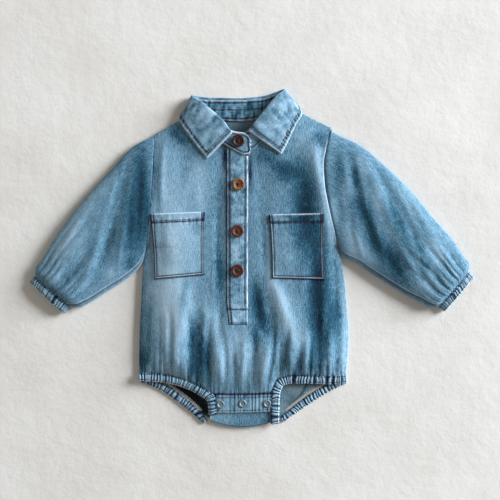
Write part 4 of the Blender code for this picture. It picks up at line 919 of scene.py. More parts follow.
def makeCuff(name, node, sections, seed):
    stations = np.linspace(0, 1, cuffLook["rows"] + 1)
    rows = along(sections, "ux uy lx ly height", stations)
    swell = 0.8 * np.sin(math.pi * stations) ** 0.7
    grids = []
    for inset in (0.0, casing):
        height = rows[:, 4] + (swell if inset == 0 else 0)
        ring, topness, part = flatRings(rows[:, :2], rows[:, 2:4], height, inset, cuffLook["around"])
        grids.append(ring)
    face, back = grids
    turn = np.linspace(0, 1, cuffLook["around"], endpoint=False)[None, :]
    slant = turn + 0.004 * np.sin(2 * math.pi * stations * 0.8)[:, None]
    wave = gathers(np.broadcast_to(slant, face.shape[:2]), cuffLook["gathers"], seed, jitter=0.8)
    held = 1 - 0.35 * np.exp(-((stations - 0.16) / 0.07) ** 2) - 0.35 * np.exp(-((stations - 0.84) / 0.07) ** 2)
    face[:, :, 2] += wave * cuffLook["depth"] * topness[None, :] * held[:, None]
    over = np.sqrt(topness)[None, :]
    # Lighter on the gathers' crests and darker in their valleys, partly the wash's wear and partly painted light and
    # shade.
    tone = 0.54 + 0.24 * wave
    ink = np.clip(0.25 - 1.3 * wave, 0, 0.9) * np.clip(over + 0.3, 0, 1)
    worn = 0.6 * np.exp(-((stations - 1) / 0.1) ** 2)[:, None] + 0.35 * np.clip(wave - 0.35, 0, 1)
    girth = np.concatenate([np.zeros((len(stations), 1)),
                            np.cumsum(np.linalg.norm(np.roll(face, -1, axis=1) - face, axis=2), axis=1)], axis=1)
    weave = np.stack([girth, np.broadcast_to(stations[:, None] * 9.5, girth.shape)], axis=-1)
    piece = clothMesh(name, face, back, weave, {"tone": tone, "worn": worn, "ink": ink}, trimDenim, closed=True)
    sewIn(piece, [node])
    half = cuffLook["around"] // 2
    columns = np.linspace(2, half - 2, 200)
    for row in (0.14, 0.86):
        stitch(face[:, :half + 1], np.full(200, row * cuffLook["rows"]), columns, "navy")
    return face


# ------------------------------------------------------------- leg casings and crotch

legLook = {"steps": 260, "rows": 14, "depth": 0.85}


def makeCasing(name, node, seam, width, count, underside, outward, seed, front):
    steps = np.linspace(0, 1, legLook["steps"] + 1)
    path = along(seam, "x y", steps)
    fine = np.gradient(path, axis=0)
    kernel = np.ones(15) / 15
    fine = np.stack([np.convolve(np.pad(fine[:, k], 7, mode="edge"), kernel, mode="valid") for k in (0, 1)], axis=1)
    tangent = fine / np.linalg.norm(fine, axis=1, keepdims=True)
    away = np.stack([tangent[:, 1], -tangent[:, 0]], axis=-1) * outward
    wide = width[0] + (width[1] - width[0]) * np.sin(math.pi * steps)
    parts = np.linspace(0, 1, legLook["rows"] + 1)
    face = np.zeros((len(parts), len(steps), 3))
    back = np.zeros_like(face)
    inner = -0.6 if front else 0.2  # the scene's casing tucks under the edge that it is sewn to
    slant = steps[None, :] + 0.012 * softNoise(steps[None, :] * 9, parts[:, None] * 1.4, 1.0, seed + 6)
    wave = gathers(slant, count, seed, jitter=0.85)
    for row, part in enumerate(parts):
        reach = inner + part * (wide - inner)
        plan = path + away * reach[:, None]
        crown = -0.9 + 1.5 * np.sin(math.pi * (0.12 + 0.8 * part)) ** 0.6
        held = 1 - 0.45 * math.exp(-((part - 0.85) / 0.07) ** 2)
        z = underside + casing - 0.2 + crown + wave[row] * legLook["depth"] * held
        face[row] = np.concatenate([plan, z[:, None]], axis=1)
        back[row] = np.concatenate([plan, np.full((len(steps), 1), underside + 0.02)], axis=1)
    patches = softNoise(slant * 40, parts[:, None] * 2, 1.0, seed + 7)
    # Lighter on the gathers' crests and darker in their valleys, partly the wash's wear and partly painted light and
    # shade.
    tone = 0.5 + 0.3 * wave + 0.18 * patches
    ink = np.clip(0.42 - 1.3 * wave + 0.6 * patches, 0, 1)
    ink = ink + (0.45 + 0.5 * patches) * np.exp(-(parts[:, None] / 0.14) ** 2)
    worn = 0.65 * np.exp(-((parts[:, None] - 1) / 0.07) ** 2) + 0.45 * np.clip(wave - 0.45, 0, 1)
    length = np.concatenate([[0], np.cumsum(np.linalg.norm(np.diff(path, axis=0), axis=1))])
    weave = np.stack(np.broadcast_arrays(length[None, :], (parts * width[1])[:, None]), axis=-1)
    paint = {"tone": tone, "worn": worn, "ink": np.clip(ink, 0, 0.95), "lining": 0.3}
    piece = clothMesh(name, face, back, weave, paint, trimDenim)
    sewIn(piece, [node])
    columns = np.linspace(3, legLook["steps"] - 3, 500)
    for row in ((0.1, 0.85) if front else (0.12, 0.85)):
        stitch(face, np.full(500, row * legLook["rows"]), columns, "navy")
    return face


crotchLook = {"across": 90, "rows": 28}


def makeCrotchBand():
    underside, thickness = 2 * foldRadius + 0.4, 2.3
    across = np.linspace(crotchBand["x"][0], crotchBand["x"][-1], crotchLook["across"] + 1)
    parts = np.linspace(0, 1, crotchLook["rows"] + 1)
    top, bottom = read(crotchBand, "x", "top", across), read(crotchBand, "x", "bottom", across)
    y = bottom + parts[:, None] * (top - bottom)
    x = np.broadcast_to(across, y.shape)
    share = (x + 44) / 68
    edge = np.exp(-(parts / 0.05) ** 2) + np.exp(-((1 - parts) / 0.05) ** 2)
    pucker = gathers(share, 13, 31)
    snapFlat = np.ones(x.shape)
    for sx, sy in zip(snapSpots["x"], snapSpots["y"]):
        snapFlat *= 1 - np.exp(-(((x - sx) ** 2 + (y - sy) ** 2) / 7.0 ** 2) ** 2)
    z = underside + thickness - 0.7 * edge[:, None] + 0.35 * pucker * snapFlat * (0.4 + 0.6 * parts[:, None])
    z = z - 0.35 * np.exp(-((parts[:, None] - 0.86) / 0.03) ** 2) - 0.3 * np.exp(-((parts[:, None] - 0.1) / 0.03) ** 2)
    face = np.stack([x, y, z], axis=-1)
    back = np.stack([x, y, np.full(x.shape, underside)], axis=-1)
    # Lighter on the puckers' crests and darker in their valleys, partly the wash's wear and partly painted light and
    # shade.
    tone = 0.47 + 0.2 * pucker * snapFlat + 0.12 * softNoise(x, y, 7, 34)
    ink = 0.9 * np.exp(-((parts[:, None] - 0.98) / 0.05) ** 2) + 0.5 * np.exp(-((parts[:, None] - 0.8) / 0.03) ** 2)
    ink = ink + 0.45 * np.clip(-pucker - 0.1, 0, 1) * snapFlat
    worn = 0.7 * np.exp(-(parts[:, None] / 0.04) ** 2) + 0.3 * np.clip(pucker - 0.3, 0, 1) * snapFlat
    weave = np.stack([x, y], axis=-1)
    piece = clothMesh("crotchBand", face, back, weave, {"tone": tone, "worn": worn, "ink": ink}, trimDenim)
    sewIn(piece, ["crotch_band_front"])
    columns = np.linspace(1, crotchLook["across"] - 1, 120)
    for row in (0.1, 0.84, 0.97):
        stitch(face, np.full(120, row * crotchLook["rows"]), columns, "navy")
    for column in (0.985, 0.93):
        stitch(face, np.linspace(1, crotchLook["rows"] - 1, 60), np.full(60, column * crotchLook["across"]), "navy")
    return underside + thickness


# ------------------------------------------------------------- placket and pockets

placketLook = {"across": 26, "up": 190, "lift": 0.6, "underLift": -1.1, "thick": 1.4}


def makePlacket():
    gap = 0.1
    parts = np.linspace(0, 1, placketLook["across"] + 1)
    up = np.linspace(0, 1, placketLook["up"] + 1)
    leftEdge, rightEdge = read(slotLeft, "y", "x", 0) + gap, read(slotRight, "y", "x", 0) - gap
    high = read(placketTop, "x", "y", leftEdge + parts * (rightEdge - leftEdge))
    low = slotFoot + 0.3
    y = low + up[:, None] * (high - low)
    leftEdge, rightEdge = read(slotLeft, "y", "x", y) + gap, read(slotRight, "y", "x", y) - gap
    x = leftEdge + parts * (rightEdge - leftEdge)
    ground = frontHeight(x, y)
    wide = 25.0
    fromLeft, fromRight = parts * wide, (1 - parts) * wide
    fromFoot = y - low
    waves = 0.3 * softNoise(x / 1.6, y, 9, 51) * np.clip(fromFoot / 10, 0, 1)
    sewnDown = -0.3 * np.exp(-((fromLeft - 3.4) / 0.8) ** 2) - 0.3 * np.exp(-((fromRight - 3.0) / 0.8) ** 2)
    z = ground + placketLook["lift"] + waves + sewnDown
    for bx, by in zip(buttonSpots["x"][1:], buttonSpots["y"][1:]):
        z = z - 0.5 * np.exp(-((x - bx) ** 2 + (y - by) ** 2) / 9.0 ** 2)
    face = np.stack([x, y, z], axis=-1)
    back = face - np.array([0, 0, placketLook["thick"]])
    # Slightly lighter where the placket's waves rise, a little painted light.
    tone = 0.57 + 0.2 * waves + 0.2 * softNoise(x / 1.4, y, 7, 52) + 0.14 * softNoise(x, y, 3, 53)
    worn = 0.8 * np.exp(-(fromRight / 0.9) ** 2) * np.clip(0.5 + 0.9 * softNoise(x, y, 9, 54), 0, 1) + 0.25 * np.exp(-((fromLeft - 1.6) / 0.8) ** 2)
    ink = 0.95 * np.exp(-(fromLeft / 0.9) ** 2) + 0.9 * np.exp(-((fromLeft - 3.4) / 0.7) ** 2)
    ink = ink + 0.85 * np.exp(-((fromRight - 3.0) / 0.8) ** 2) * (fromFoot > 24)
    ink = ink + 0.7 * np.exp(-(fromFoot / 1.2) ** 2) + 0.8 * np.exp(-((fromFoot - 18) / 0.9) ** 2)
    weave = np.stack([x, y], axis=-1)
    piece = clothMesh("placket", face, back, weave, {"tone": tone, "worn": worn, "ink": np.clip(ink, 0, 1)},
                      washedDenim)
    sewIn(piece, ["placket_over"])
    under = np.stack([x, y, ground + placketLook["underLift"]], axis=-1)
    underBack = under - np.array([0, 0, cloth])
    below = clothMesh("placketUnder", under, underBack, weave, {"tone": 0.45}, trimDenim)
    sewIn(below, ["placket_under"])
    rows = np.linspace(2, placketLook["up"] - 2, 700)
    for distance in (2.6, 4.4):
        stitch(face, rows, np.full(700, distance / wide * placketLook["across"]), "navy")
    stitch(face, rows[60:], np.full(640, (wide - 3.0) / wide * placketLook["across"]), "navy")
    for height in (2.0, 18.0):
        row = height / 212 * placketLook["up"]
        stitch(face, np.full(60, row), np.linspace(3, placketLook["across"] - 1.5, 60), "navy")
    return face


pocketLook = {"across": 72, "up": 84, "clear": 0.3, "hem": 9.5, "bow": -0.8}


def makePocket(row, name, node, seed, toneShift):
    spot = {key: pocketCorners[key][row] for key in pocketCorners}

    def corner(key):
        return np.array([spot[key + "_x"], spot[key + "_y"]])

    across = np.linspace(0, 1, pocketLook["across"] + 1)
    up = np.linspace(0, 1, pocketLook["up"] + 1)
    top = corner("top_outer") + across[:, None] * (corner("top_inner") - corner("top_outer"))
    low = corner("low_outer") + across[:, None] * (corner("low_inner") - corner("low_outer"))
    plan = low[None] + up[:, None, None] * (top - low)[None]
    plan[:, :, 0] += pocketLook["bow"] * np.sin(math.pi * up)[:, None] * (2 * across - 1) * (1 - 2 * row)
    tall = float(np.linalg.norm(top[0] - low[0]))
    wide = float(np.linalg.norm(top[-1] - top[0]))
    fromTop = (1 - up[:, None]) * tall
    fromLow = up[:, None] * tall
    fromSide = np.minimum(across, 1 - across)[None, :] * wide
    x, y = plan[:, :, 0], plan[:, :, 1]
    ground = frontHeight(x, y)
    inHem = 1 / (1 + np.exp((fromTop - pocketLook["hem"]) / 0.5))
    pucker = gathers(np.broadcast_to(across, x.shape), 9, seed) * np.exp(-((fromTop - pocketLook["hem"]) / 5) ** 2)
    edge = np.exp(-(np.minimum(fromSide, fromLow) / 1.0) ** 2)
    bag = 0.9 * np.sin(math.pi * across)[None, :] * np.clip(fromLow / 20, 0, 1) * (1 - 0.3 * inHem)
    wander = 0.45 * softNoise(x, y / 1.5, 14, seed + 1) * np.clip(fromSide / 10, 0, 1) * np.clip(fromLow / 10, 0, 1)
    z = ground + pocketLook["clear"] + cloth + 0.6 * inHem + bag + wander + 0.3 * pucker - 0.35 * edge
    z = z - 0.35 * np.exp(-((fromTop - pocketLook["hem"] + 0.8) / 0.7) ** 2)
    z = z - 0.3 * np.exp(-((np.minimum(fromSide, fromLow) - 3.0) / 0.9) ** 2)
    face = np.stack([x, y, z], axis=-1)
    back = np.stack([x, y, ground + pocketLook["clear"] + 0.25 * (bag + wander)], axis=-1)
    # The pocket takes the front's painted light and shade, is lighter on its bulges and darker in its dips, partly
    # painted light and shade, and dark in the puckers' valleys, partly painted shade.
    relief = wander + 0.5 * pucker
    tone = frontTone(x, y) + 0.02 + toneShift + 0.16 * relief + (0.14 * softNoise(x, y, 6, seed + 2) - 0.03) * inHem
    sewnEdge = np.minimum(fromSide, fromLow)
    worn = 0.6 * np.exp(-(fromTop / 0.7) ** 2) + 0.5 * np.exp(-((sewnEdge - 1.9) / 0.7) ** 2)
    tacks = np.clip(1.4 - fromSide / 2.6, 0, 1) * (fromTop < pocketLook["hem"])
    ink = 0.8 * np.exp(-((sewnEdge - 3.2) / 0.6) ** 2) + 0.85 * np.exp(-((sewnEdge - 0.4) / 0.7) ** 2) + 0.6 * tacks
    ink = ink + 1.0 * np.exp(-((fromTop - pocketLook["hem"] - 0.5) / 0.8) ** 2) + 0.5 * np.clip(-pucker, 0, 1)
    weave = np.stack([x, y], axis=-1)
    piece = clothMesh(name, face, back, weave, {"tone": tone, "worn": worn, "ink": np.clip(ink, 0, 1)}, washedDenim)
    sewIn(piece, [node])
    columns = np.linspace(1.5, pocketLook["across"] - 1.5, 240)
    for distance in (pocketLook["hem"] - 1.6, pocketLook["hem"] + 0.4):
        stitch(face, np.full(240, (1 - distance / tall) * pocketLook["up"]), columns, "navy")
    for distance in (0.9, 3.3):
        side = distance / wide * pocketLook["across"]
        foot = distance / tall * pocketLook["up"]
        rows = np.linspace(foot, pocketLook["up"] - 1, 240)
        stitch(face, rows, np.full(240, side), "navy")
        stitch(face, rows, np.full(240, pocketLook["across"] - side), "navy")
        stitch(face, np.full(240, foot), np.linspace(side, pocketLook["across"] - side, 240), "navy")
    return face


# ------------------------------------------------------------- collar

collarLook = {"parts": 14, "down": 34, "standParts": 22, "up": 24}


def makeCollar():
    roll = between(collarRows, "roll_x roll_y roll_z", collarLook["parts"])
    edge = between(collarRows, "edge_x edge_y edge_z", collarLook["parts"])
    down = np.linspace(0, 1, collarLook["down"] + 1)
    crown = smooth(np.array([0, .08, .3, .55, .8, 1.0]), np.array([-0.5, 0.2, 0.6, 0.5, 0.2, 0]), down)
    grid = roll[:, None, :] + down[None, :, None] * (edge - roll)[:, None, :]
    inFront = np.clip((grid[:, :, 2] - 6.0) / 4.0, 0, 1)
    stations = np.arange(len(roll))[:, None] / collarLook["parts"]
    wide = np.linalg.norm(edge - roll, axis=1)[:, None]
    fromEdge = (1 - down)[None, :] * wide
    alongEdge = np.concatenate([[0], np.cumsum(np.linalg.norm(np.diff(edge, axis=0), axis=1))])
    fromPoint = np.minimum(alongEdge, alongEdge[-1] - alongEdge)[:, None]
    outline = np.minimum(fromEdge, fromPoint)
    wander = 0.45 * softNoise(stations * 3, down[None, :] * 3, 1.0, 61)
    bumps = gathers(np.broadcast_to(alongEdge[:, None] / alongEdge[-1], grid.shape[:2]), 66, 62, 0.8)
    pucker = 0.4 * bumps * np.exp(-((fromEdge - 3.6) / 3.6) ** 2)
    grid[:, :, 2] += crown[None, :] * inFront
    x, y = grid[:, :, 0], grid[:, :, 1]
    resting = frontHeight(x, y) + 0.5 + doubleCloth
    onBody = (y < read(frontTop, "x", "y", x) + 1.0) & (grid[:, :, 2] > 5.0)
    grid[:, :, 2] = np.where(onBody, np.maximum(grid[:, :, 2], resting), grid[:, :, 2])
    groove = -0.45 * np.exp(-((outline - 3.8) / 0.9) ** 2) + 0.25 * np.exp(-((outline - 1.4) / 1.0) ** 2)
    grid[:, :, 2] += (wander * np.clip(fromEdge / 8, 0, 1) + pucker + groove) * inFront
    back = grid + gridNormals(grid) * doubleCloth
    # Tone is lighter on the collar's bumps and puckers and darker in their dips, partly painted light and shade, and a
    # little darker along the roll line.
    relief = wander + pucker
    tone = 0.58 + 0.4 * relief + 0.08 * softNoise(x, y, 22, 63) + 0.16 * softNoise(x, y, 5, 65)
    tone = tone - 0.10 * np.exp(-(down[None, :] * wide / 5) ** 2)
    worn = np.clip(0.5 + 0.6 * bumps, 0, 1) * np.exp(-(outline / 1.1) ** 2) + 0.15 * np.exp(-(down[None, :] / 0.04) ** 2)
    patches = np.clip(0.5 - 0.6 * bumps + 0.5 * softNoise(alongEdge[:, None], fromEdge, 3.2, 64), 0, 1)
    ink = np.exp(-((outline - 4.3) / 1.7) ** 2) * patches
    weave = np.stack(np.broadcast_arrays(alongEdge[:, None], down[None, :] * wide), axis=-1)[:, :, ::-1]
    paint = {"tone": tone, "worn": worn, "ink": np.clip(ink, 0, 1), "lining": 0.0}
    piece = clothMesh("collarLeaf", grid, back, weave, paint, trimDenim)
    sewIn(piece, ["collar"])
    for distance in (3.2, 5.4):
        corner = distance / (alongEdge[-1] / len(edge))
        columns = (1 - distance / wide[:, 0]) * collarLook["down"]
        rows = np.linspace(corner, len(edge) - 1 - corner, 900)
        stitch(grid, rows, np.interp(rows, np.arange(len(edge)), columns), "navy")
        for row in (corner, len(edge) - 1 - corner):
            stitch(grid, np.full(120, row), np.linspace(2, columns[int(row)], 120), "navy")
    return grid


def makeStand():
    seam = between(standRows, "seam_x seam_y seam_z", collarLook["standParts"])
    top = between(standRows, "top_x top_y top_z", collarLook["standParts"])
    up = np.linspace(0, 1, collarLook["up"] + 1)
    grid = seam[:, None, :] + up[None, :, None] * (top - seam)[:, None, :]
    outwards = gridNormals(grid)
    wide = np.linalg.norm(top - seam, axis=1)[:, None]
    length = np.concatenate([[0], np.cumsum(np.linalg.norm(np.diff((seam + top) / 2, axis=0), axis=1))])
    y = grid[:, :, 1]
    fromSeam, fromTop = up[None, :] * wide, (1 - up)[None, :] * wide
    outline = np.minimum(np.minimum(fromSeam, fromTop), length[:, None])
    groove = 0.25 * np.exp(-((outline - 2.6) / 0.8) ** 2)
    wander = 0.15 * softNoise(length[:, None], fromSeam, 9, 71)
    grid = grid + outwards * (groove - wander)[:, :, None]
    back = grid + gridNormals(grid) * doubleCloth
    behind = np.clip((y - 160) / 10, 0, 1)  # the band at the nape is drawn up on its seams
    # At the nape the rumples are only painted: patches of painted light and shade, with painted shade in their hollows,
    # and the whole nape a little darker.
    paintedRumples = (softNoise(length[:, None], fromSeam / 3, 2.4, 73) + 0.5 * softNoise(length[:, None], fromSeam, 5, 74)) * behind
    tone = 0.5 + 0.10 * softNoise(length[:, None], fromSeam, 14, 72) + 0.22 * paintedRumples - 0.1 * behind
    worn = (1.0 - 0.6 * behind) * np.exp(-(outline / (1.6 - 0.8 * behind)) ** 2)
    ink = 0.8 * np.exp(-((outline - 2.6) / 0.7) ** 2) + 0.5 * np.clip(-paintedRumples - 0.2, 0, 1)
    ink = ink + 0.8 * behind * np.exp(-((fromTop - 11) / 0.8) ** 2)
    weave = np.stack(np.broadcast_arrays(fromSeam, length[:, None]), axis=-1)
    ink = np.clip(ink, 0, 1)
    onTab = length[:, None] < 62
    paint = {"tone": tone, "worn": worn, "ink": ink, "linedWorn": 0.8 * worn * onTab, "linedInk": 1.2 * ink,
             "linedTone": tone + 0.04, "lining": 0.0}
    piece = clothMesh("collarStand", grid, back, weave, paint, trimDenim)
    sewIn(piece, ["collar_stand"])
    rows = np.linspace(2, len(seam) - 3, 900)
    for share in (2.4 / wide[:, 0], 1 - 2.4 / wide[:, 0]):
        stitch(grid, rows, np.interp(rows, np.arange(len(seam)), share * collarLook["up"]), "navy")
    tab = rows[:210]
    for share in (2.4 / wide[:, 0], 1 - 2.4 / wide[:, 0]):
        stitch(back, tab, np.interp(tab, np.arange(len(seam)), share * collarLook["up"]), "navy")
    return grid


# ------------------------------------------------------------- buttons and snaps

buttonSizes = {"diameter": 15.0, "thick": 2.4, "hole": 1.7, "holeCircle": 4.2, "sides": 48}
snapSizes = {"diameter": 9.5, "thick": 1.1, "sides": 40}


def turnedMesh(profile, sides):
    points, faces = [], []
    for radius, height in profile:
        if radius == 0:
            points.append((0, 0, height))
        else:
            points += [(radius * math.cos(2 * math.pi * k / sides), radius * math.sin(2 * math.pi * k / sides), height)
                       for k in range(sides)]
    rings = [1 + k * sides for k in range(len(profile) - 2)]
    for k in range(sides):
        nextOne = (k + 1) % sides
        faces.append((0, rings[0] + k, rings[0] + nextOne))
        faces.append((len(points) - 1, rings[-1] + nextOne, rings[-1] + k))
        for inner, outer in zip(rings, rings[1:]):
            faces.append((inner + k, outer + k, outer + nextOne, inner + nextOne))
    mesh = bpy.data.meshes.new("turned")
    mesh.from_pydata([[c * millimetre for c in point] for point in points], [], faces)
    shape = bmesh.new()
    shape.from_mesh(mesh)
    bmesh.ops.recalc_face_normals(shape, faces=shape.faces)
    shape.to_mesh(mesh)
    shape.free()
    return mesh


def boxOf(node):
    low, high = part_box(node)
    return (low + high) / 2, low, high


def slopeAt(x, y, step=4.0):
    return ((float(frontBase(x + step, y)) - float(frontBase(x - step, y))) / (2 * step),
            (float(frontBase(x, y + step)) - float(frontBase(x, y - step))) / (2 * step))


def placed(mesh, name, x, y, base, slope, spin):
    normal = Vector((-slope[0], -slope[1], 1)).normalized()
    turn = Vector((0, 0, 1)).rotation_difference(normal).to_matrix().to_4x4()
    mesh.transform(Matrix.Translation(Vector((x, y, base)) * millimetre) @ turn @ Matrix.Rotation(spin, 4, "Z"))
    piece = bpy.data.objects.new(name, mesh)
    bpy.context.scene.collection.objects.link(piece)
    return piece


def makeButtons():
    radius, thick = buttonSizes["diameter"] / 2, buttonSizes["thick"]
    profile = ((0, thick - 0.85), (radius * 0.3, thick - 0.87), (radius * 0.52, thick - 0.8),
               (radius * 0.62, thick - 0.55), (radius * 0.70, thick - 0.15), (radius * 0.80, thick),
               (radius * 0.89, thick - 0.08), (radius * 0.96, thick - 0.35), (radius, thick - 0.8),
               (radius, 0.9), (radius * 0.96, 0.35), (radius * 0.82, 0), (0, 0))
    threads = thread("buttonThread", "#2A2226")
    for row, (x, y) in enumerate(zip(buttonSpots["x"], buttonSpots["y"])):
        node = f"button_{row + 1}"
        middle, low, high = boxOf(node)
        mesh = turnedMesh(profile, buttonSizes["sides"])
        piece = bpy.data.objects.new(f"button{row + 1}", mesh)
        bpy.context.scene.collection.objects.link(piece)
        spin = 0.3 * row
        holes = []
        for k in range(4):
            angle = math.pi / 4 + k * math.pi / 2
            reach = buttonSizes["holeCircle"] / 2 * millimetre
            bpy.ops.mesh.primitive_cylinder_add(vertices=20, radius=buttonSizes["hole"] / 2 * millimetre,
                                                depth=8 * millimetre,
                                                location=(reach * math.cos(angle), reach * math.sin(angle), 0))
            holes.append(bpy.context.object)
        bpy.ops.object.select_all(action="DESELECT")
        for hole in holes:
            hole.select_set(True)
        bpy.context.view_layer.objects.active = holes[0]
        bpy.ops.object.join()
        drill = piece.modifiers.new("holes", "BOOLEAN")
        drill.object = holes[0]
        drill.solver = "EXACT"
        bpy.context.view_layer.update()
        cut = bpy.data.meshes.new_from_object(piece.evaluated_get(bpy.context.evaluated_depsgraph_get()))
        piece.modifiers.clear()
        piece.data = cut
        bpy.data.objects.remove(holes[0])
        base = (12.95 if row == 0 else float(frontBase(x, y)) + 0.65) + 0.4
        slope = (0, 0) if row == 0 else slopeAt(x, y)
        normal = Vector((-slope[0], -slope[1], 1)).normalized()
        turn = Vector((0, 0, 1)).rotation_difference(normal).to_matrix().to_4x4()
        place = Matrix.Translation(Vector((x, y, base)) * millimetre) @ turn @ Matrix.Rotation(spin, 4, "Z")
        cut.transform(place)
        cut.shade_smooth()
        cut.set_sharp_from_angle(angle=math.radians(40))
        cut.materials.clear()
        shades = ("dark dark brown", "dark warm pale", "dark brown warm", "dark brown brown")[row]
        cut.materials.append(coconutShell(f"coconutShell{row + 1}", buttonLook, shades))
        sewIn(piece, [node])
        strands = []
        for k, angle in enumerate((math.pi / 4, 3 * math.pi / 4)):
            for side in (-0.35, 0.35):
                reach = buttonSizes["holeCircle"] / 2
                bow = np.linspace(-1, 1, 9)
                line = np.stack([bow * reach * math.cos(angle) - side * math.sin(angle),
                                 bow * reach * math.sin(angle) + side * math.cos(angle),
                                 thick - 0.62 - 1.3 * np.abs(bow) ** 6], axis=-1)
                strands.append(line)
        threadPiece = tubes(f"buttonThread{row + 1}", strands, 0.33, threads)
        threadPiece.data.transform(place)
        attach(threadPiece, "root")


def tubes(name, lines, radius, material, sides=6):
    points, faces = [], []
    for line in lines:
        tangent = np.gradient(line, axis=0)
        tangent /= np.linalg.norm(tangent, axis=1, keepdims=True)
        sideways = np.cross(tangent, np.array([0.02, 0.03, 1.0]))
        sideways /= np.linalg.norm(sideways, axis=1, keepdims=True)
        above = np.cross(sideways, tangent)
        start = len(points)
        for k in range(len(line)):
            for j in range(sides):
                angle = 2 * math.pi * j / sides
                points.append(line[k] + radius * (math.cos(angle) * sideways[k] + math.sin(angle) * above[k]))
        for k in range(len(line) - 1):
            for j in range(sides):
                a, b = start + k * sides + j, start + k * sides + (j + 1) % sides
                faces.append((a, b, b + sides, a + sides))
        faces.append(tuple(start + j for j in range(sides)))
        faces.append(tuple(start + (len(line) - 1) * sides + j for j in reversed(range(sides))))
    mesh = bpy.data.meshes.new(name)
    mesh.from_pydata((np.array(points) * millimetre).tolist(), [], faces)
    shape = bmesh.new()
    shape.from_mesh(mesh)
    bmesh.ops.recalc_face_normals(shape, faces=shape.faces)
    shape.to_mesh(mesh)
    shape.free()
    mesh.shade_smooth()
    mesh.materials.append(material)
    piece = bpy.data.objects.new(name, mesh)
    bpy.context.scene.collection.objects.link(piece)
    return piece


def makeSnaps(surface):
    radius, thick = snapSizes["diameter"] / 2, snapSizes["thick"]
    profile = ((0, thick * 0.5), (radius * 0.25, thick * 0.46), (radius * 0.46, thick * 0.3),
               (radius * 0.54, thick * 0.34), (radius * 0.60, thick * 0.75), (radius * 0.68, thick * 0.97),
               (radius * 0.78, thick), (radius * 0.9, thick * 0.85), (radius * 0.97, thick * 0.55),
               (radius, thick * 0.2), (radius * 0.95, 0), (0, 0))
    metal = snapMetal("nickelledBrass")
    for row, (x, y) in enumerate(zip(snapSpots["x"], snapSpots["y"])):
        mesh = turnedMesh(profile, snapSizes["sides"])
        mesh.shade_smooth()
        mesh.materials.append(metal)
        piece = placed(mesh, f"snap{row + 1}", x, y, surface + 0.2, (0, 0), 0.0)
        sewIn(piece, [f"snap_{row + 1}"])


# ------------------------------------------------------------- sewing

stitchLook = {
    "navy": {"pitch": 3.0, "length": 2.6, "width": 0.8},  # real thread is 0.4 and wouldn't show
    "overlock": {"pitch": 0.9, "length": 3.4, "width": 0.45},
}


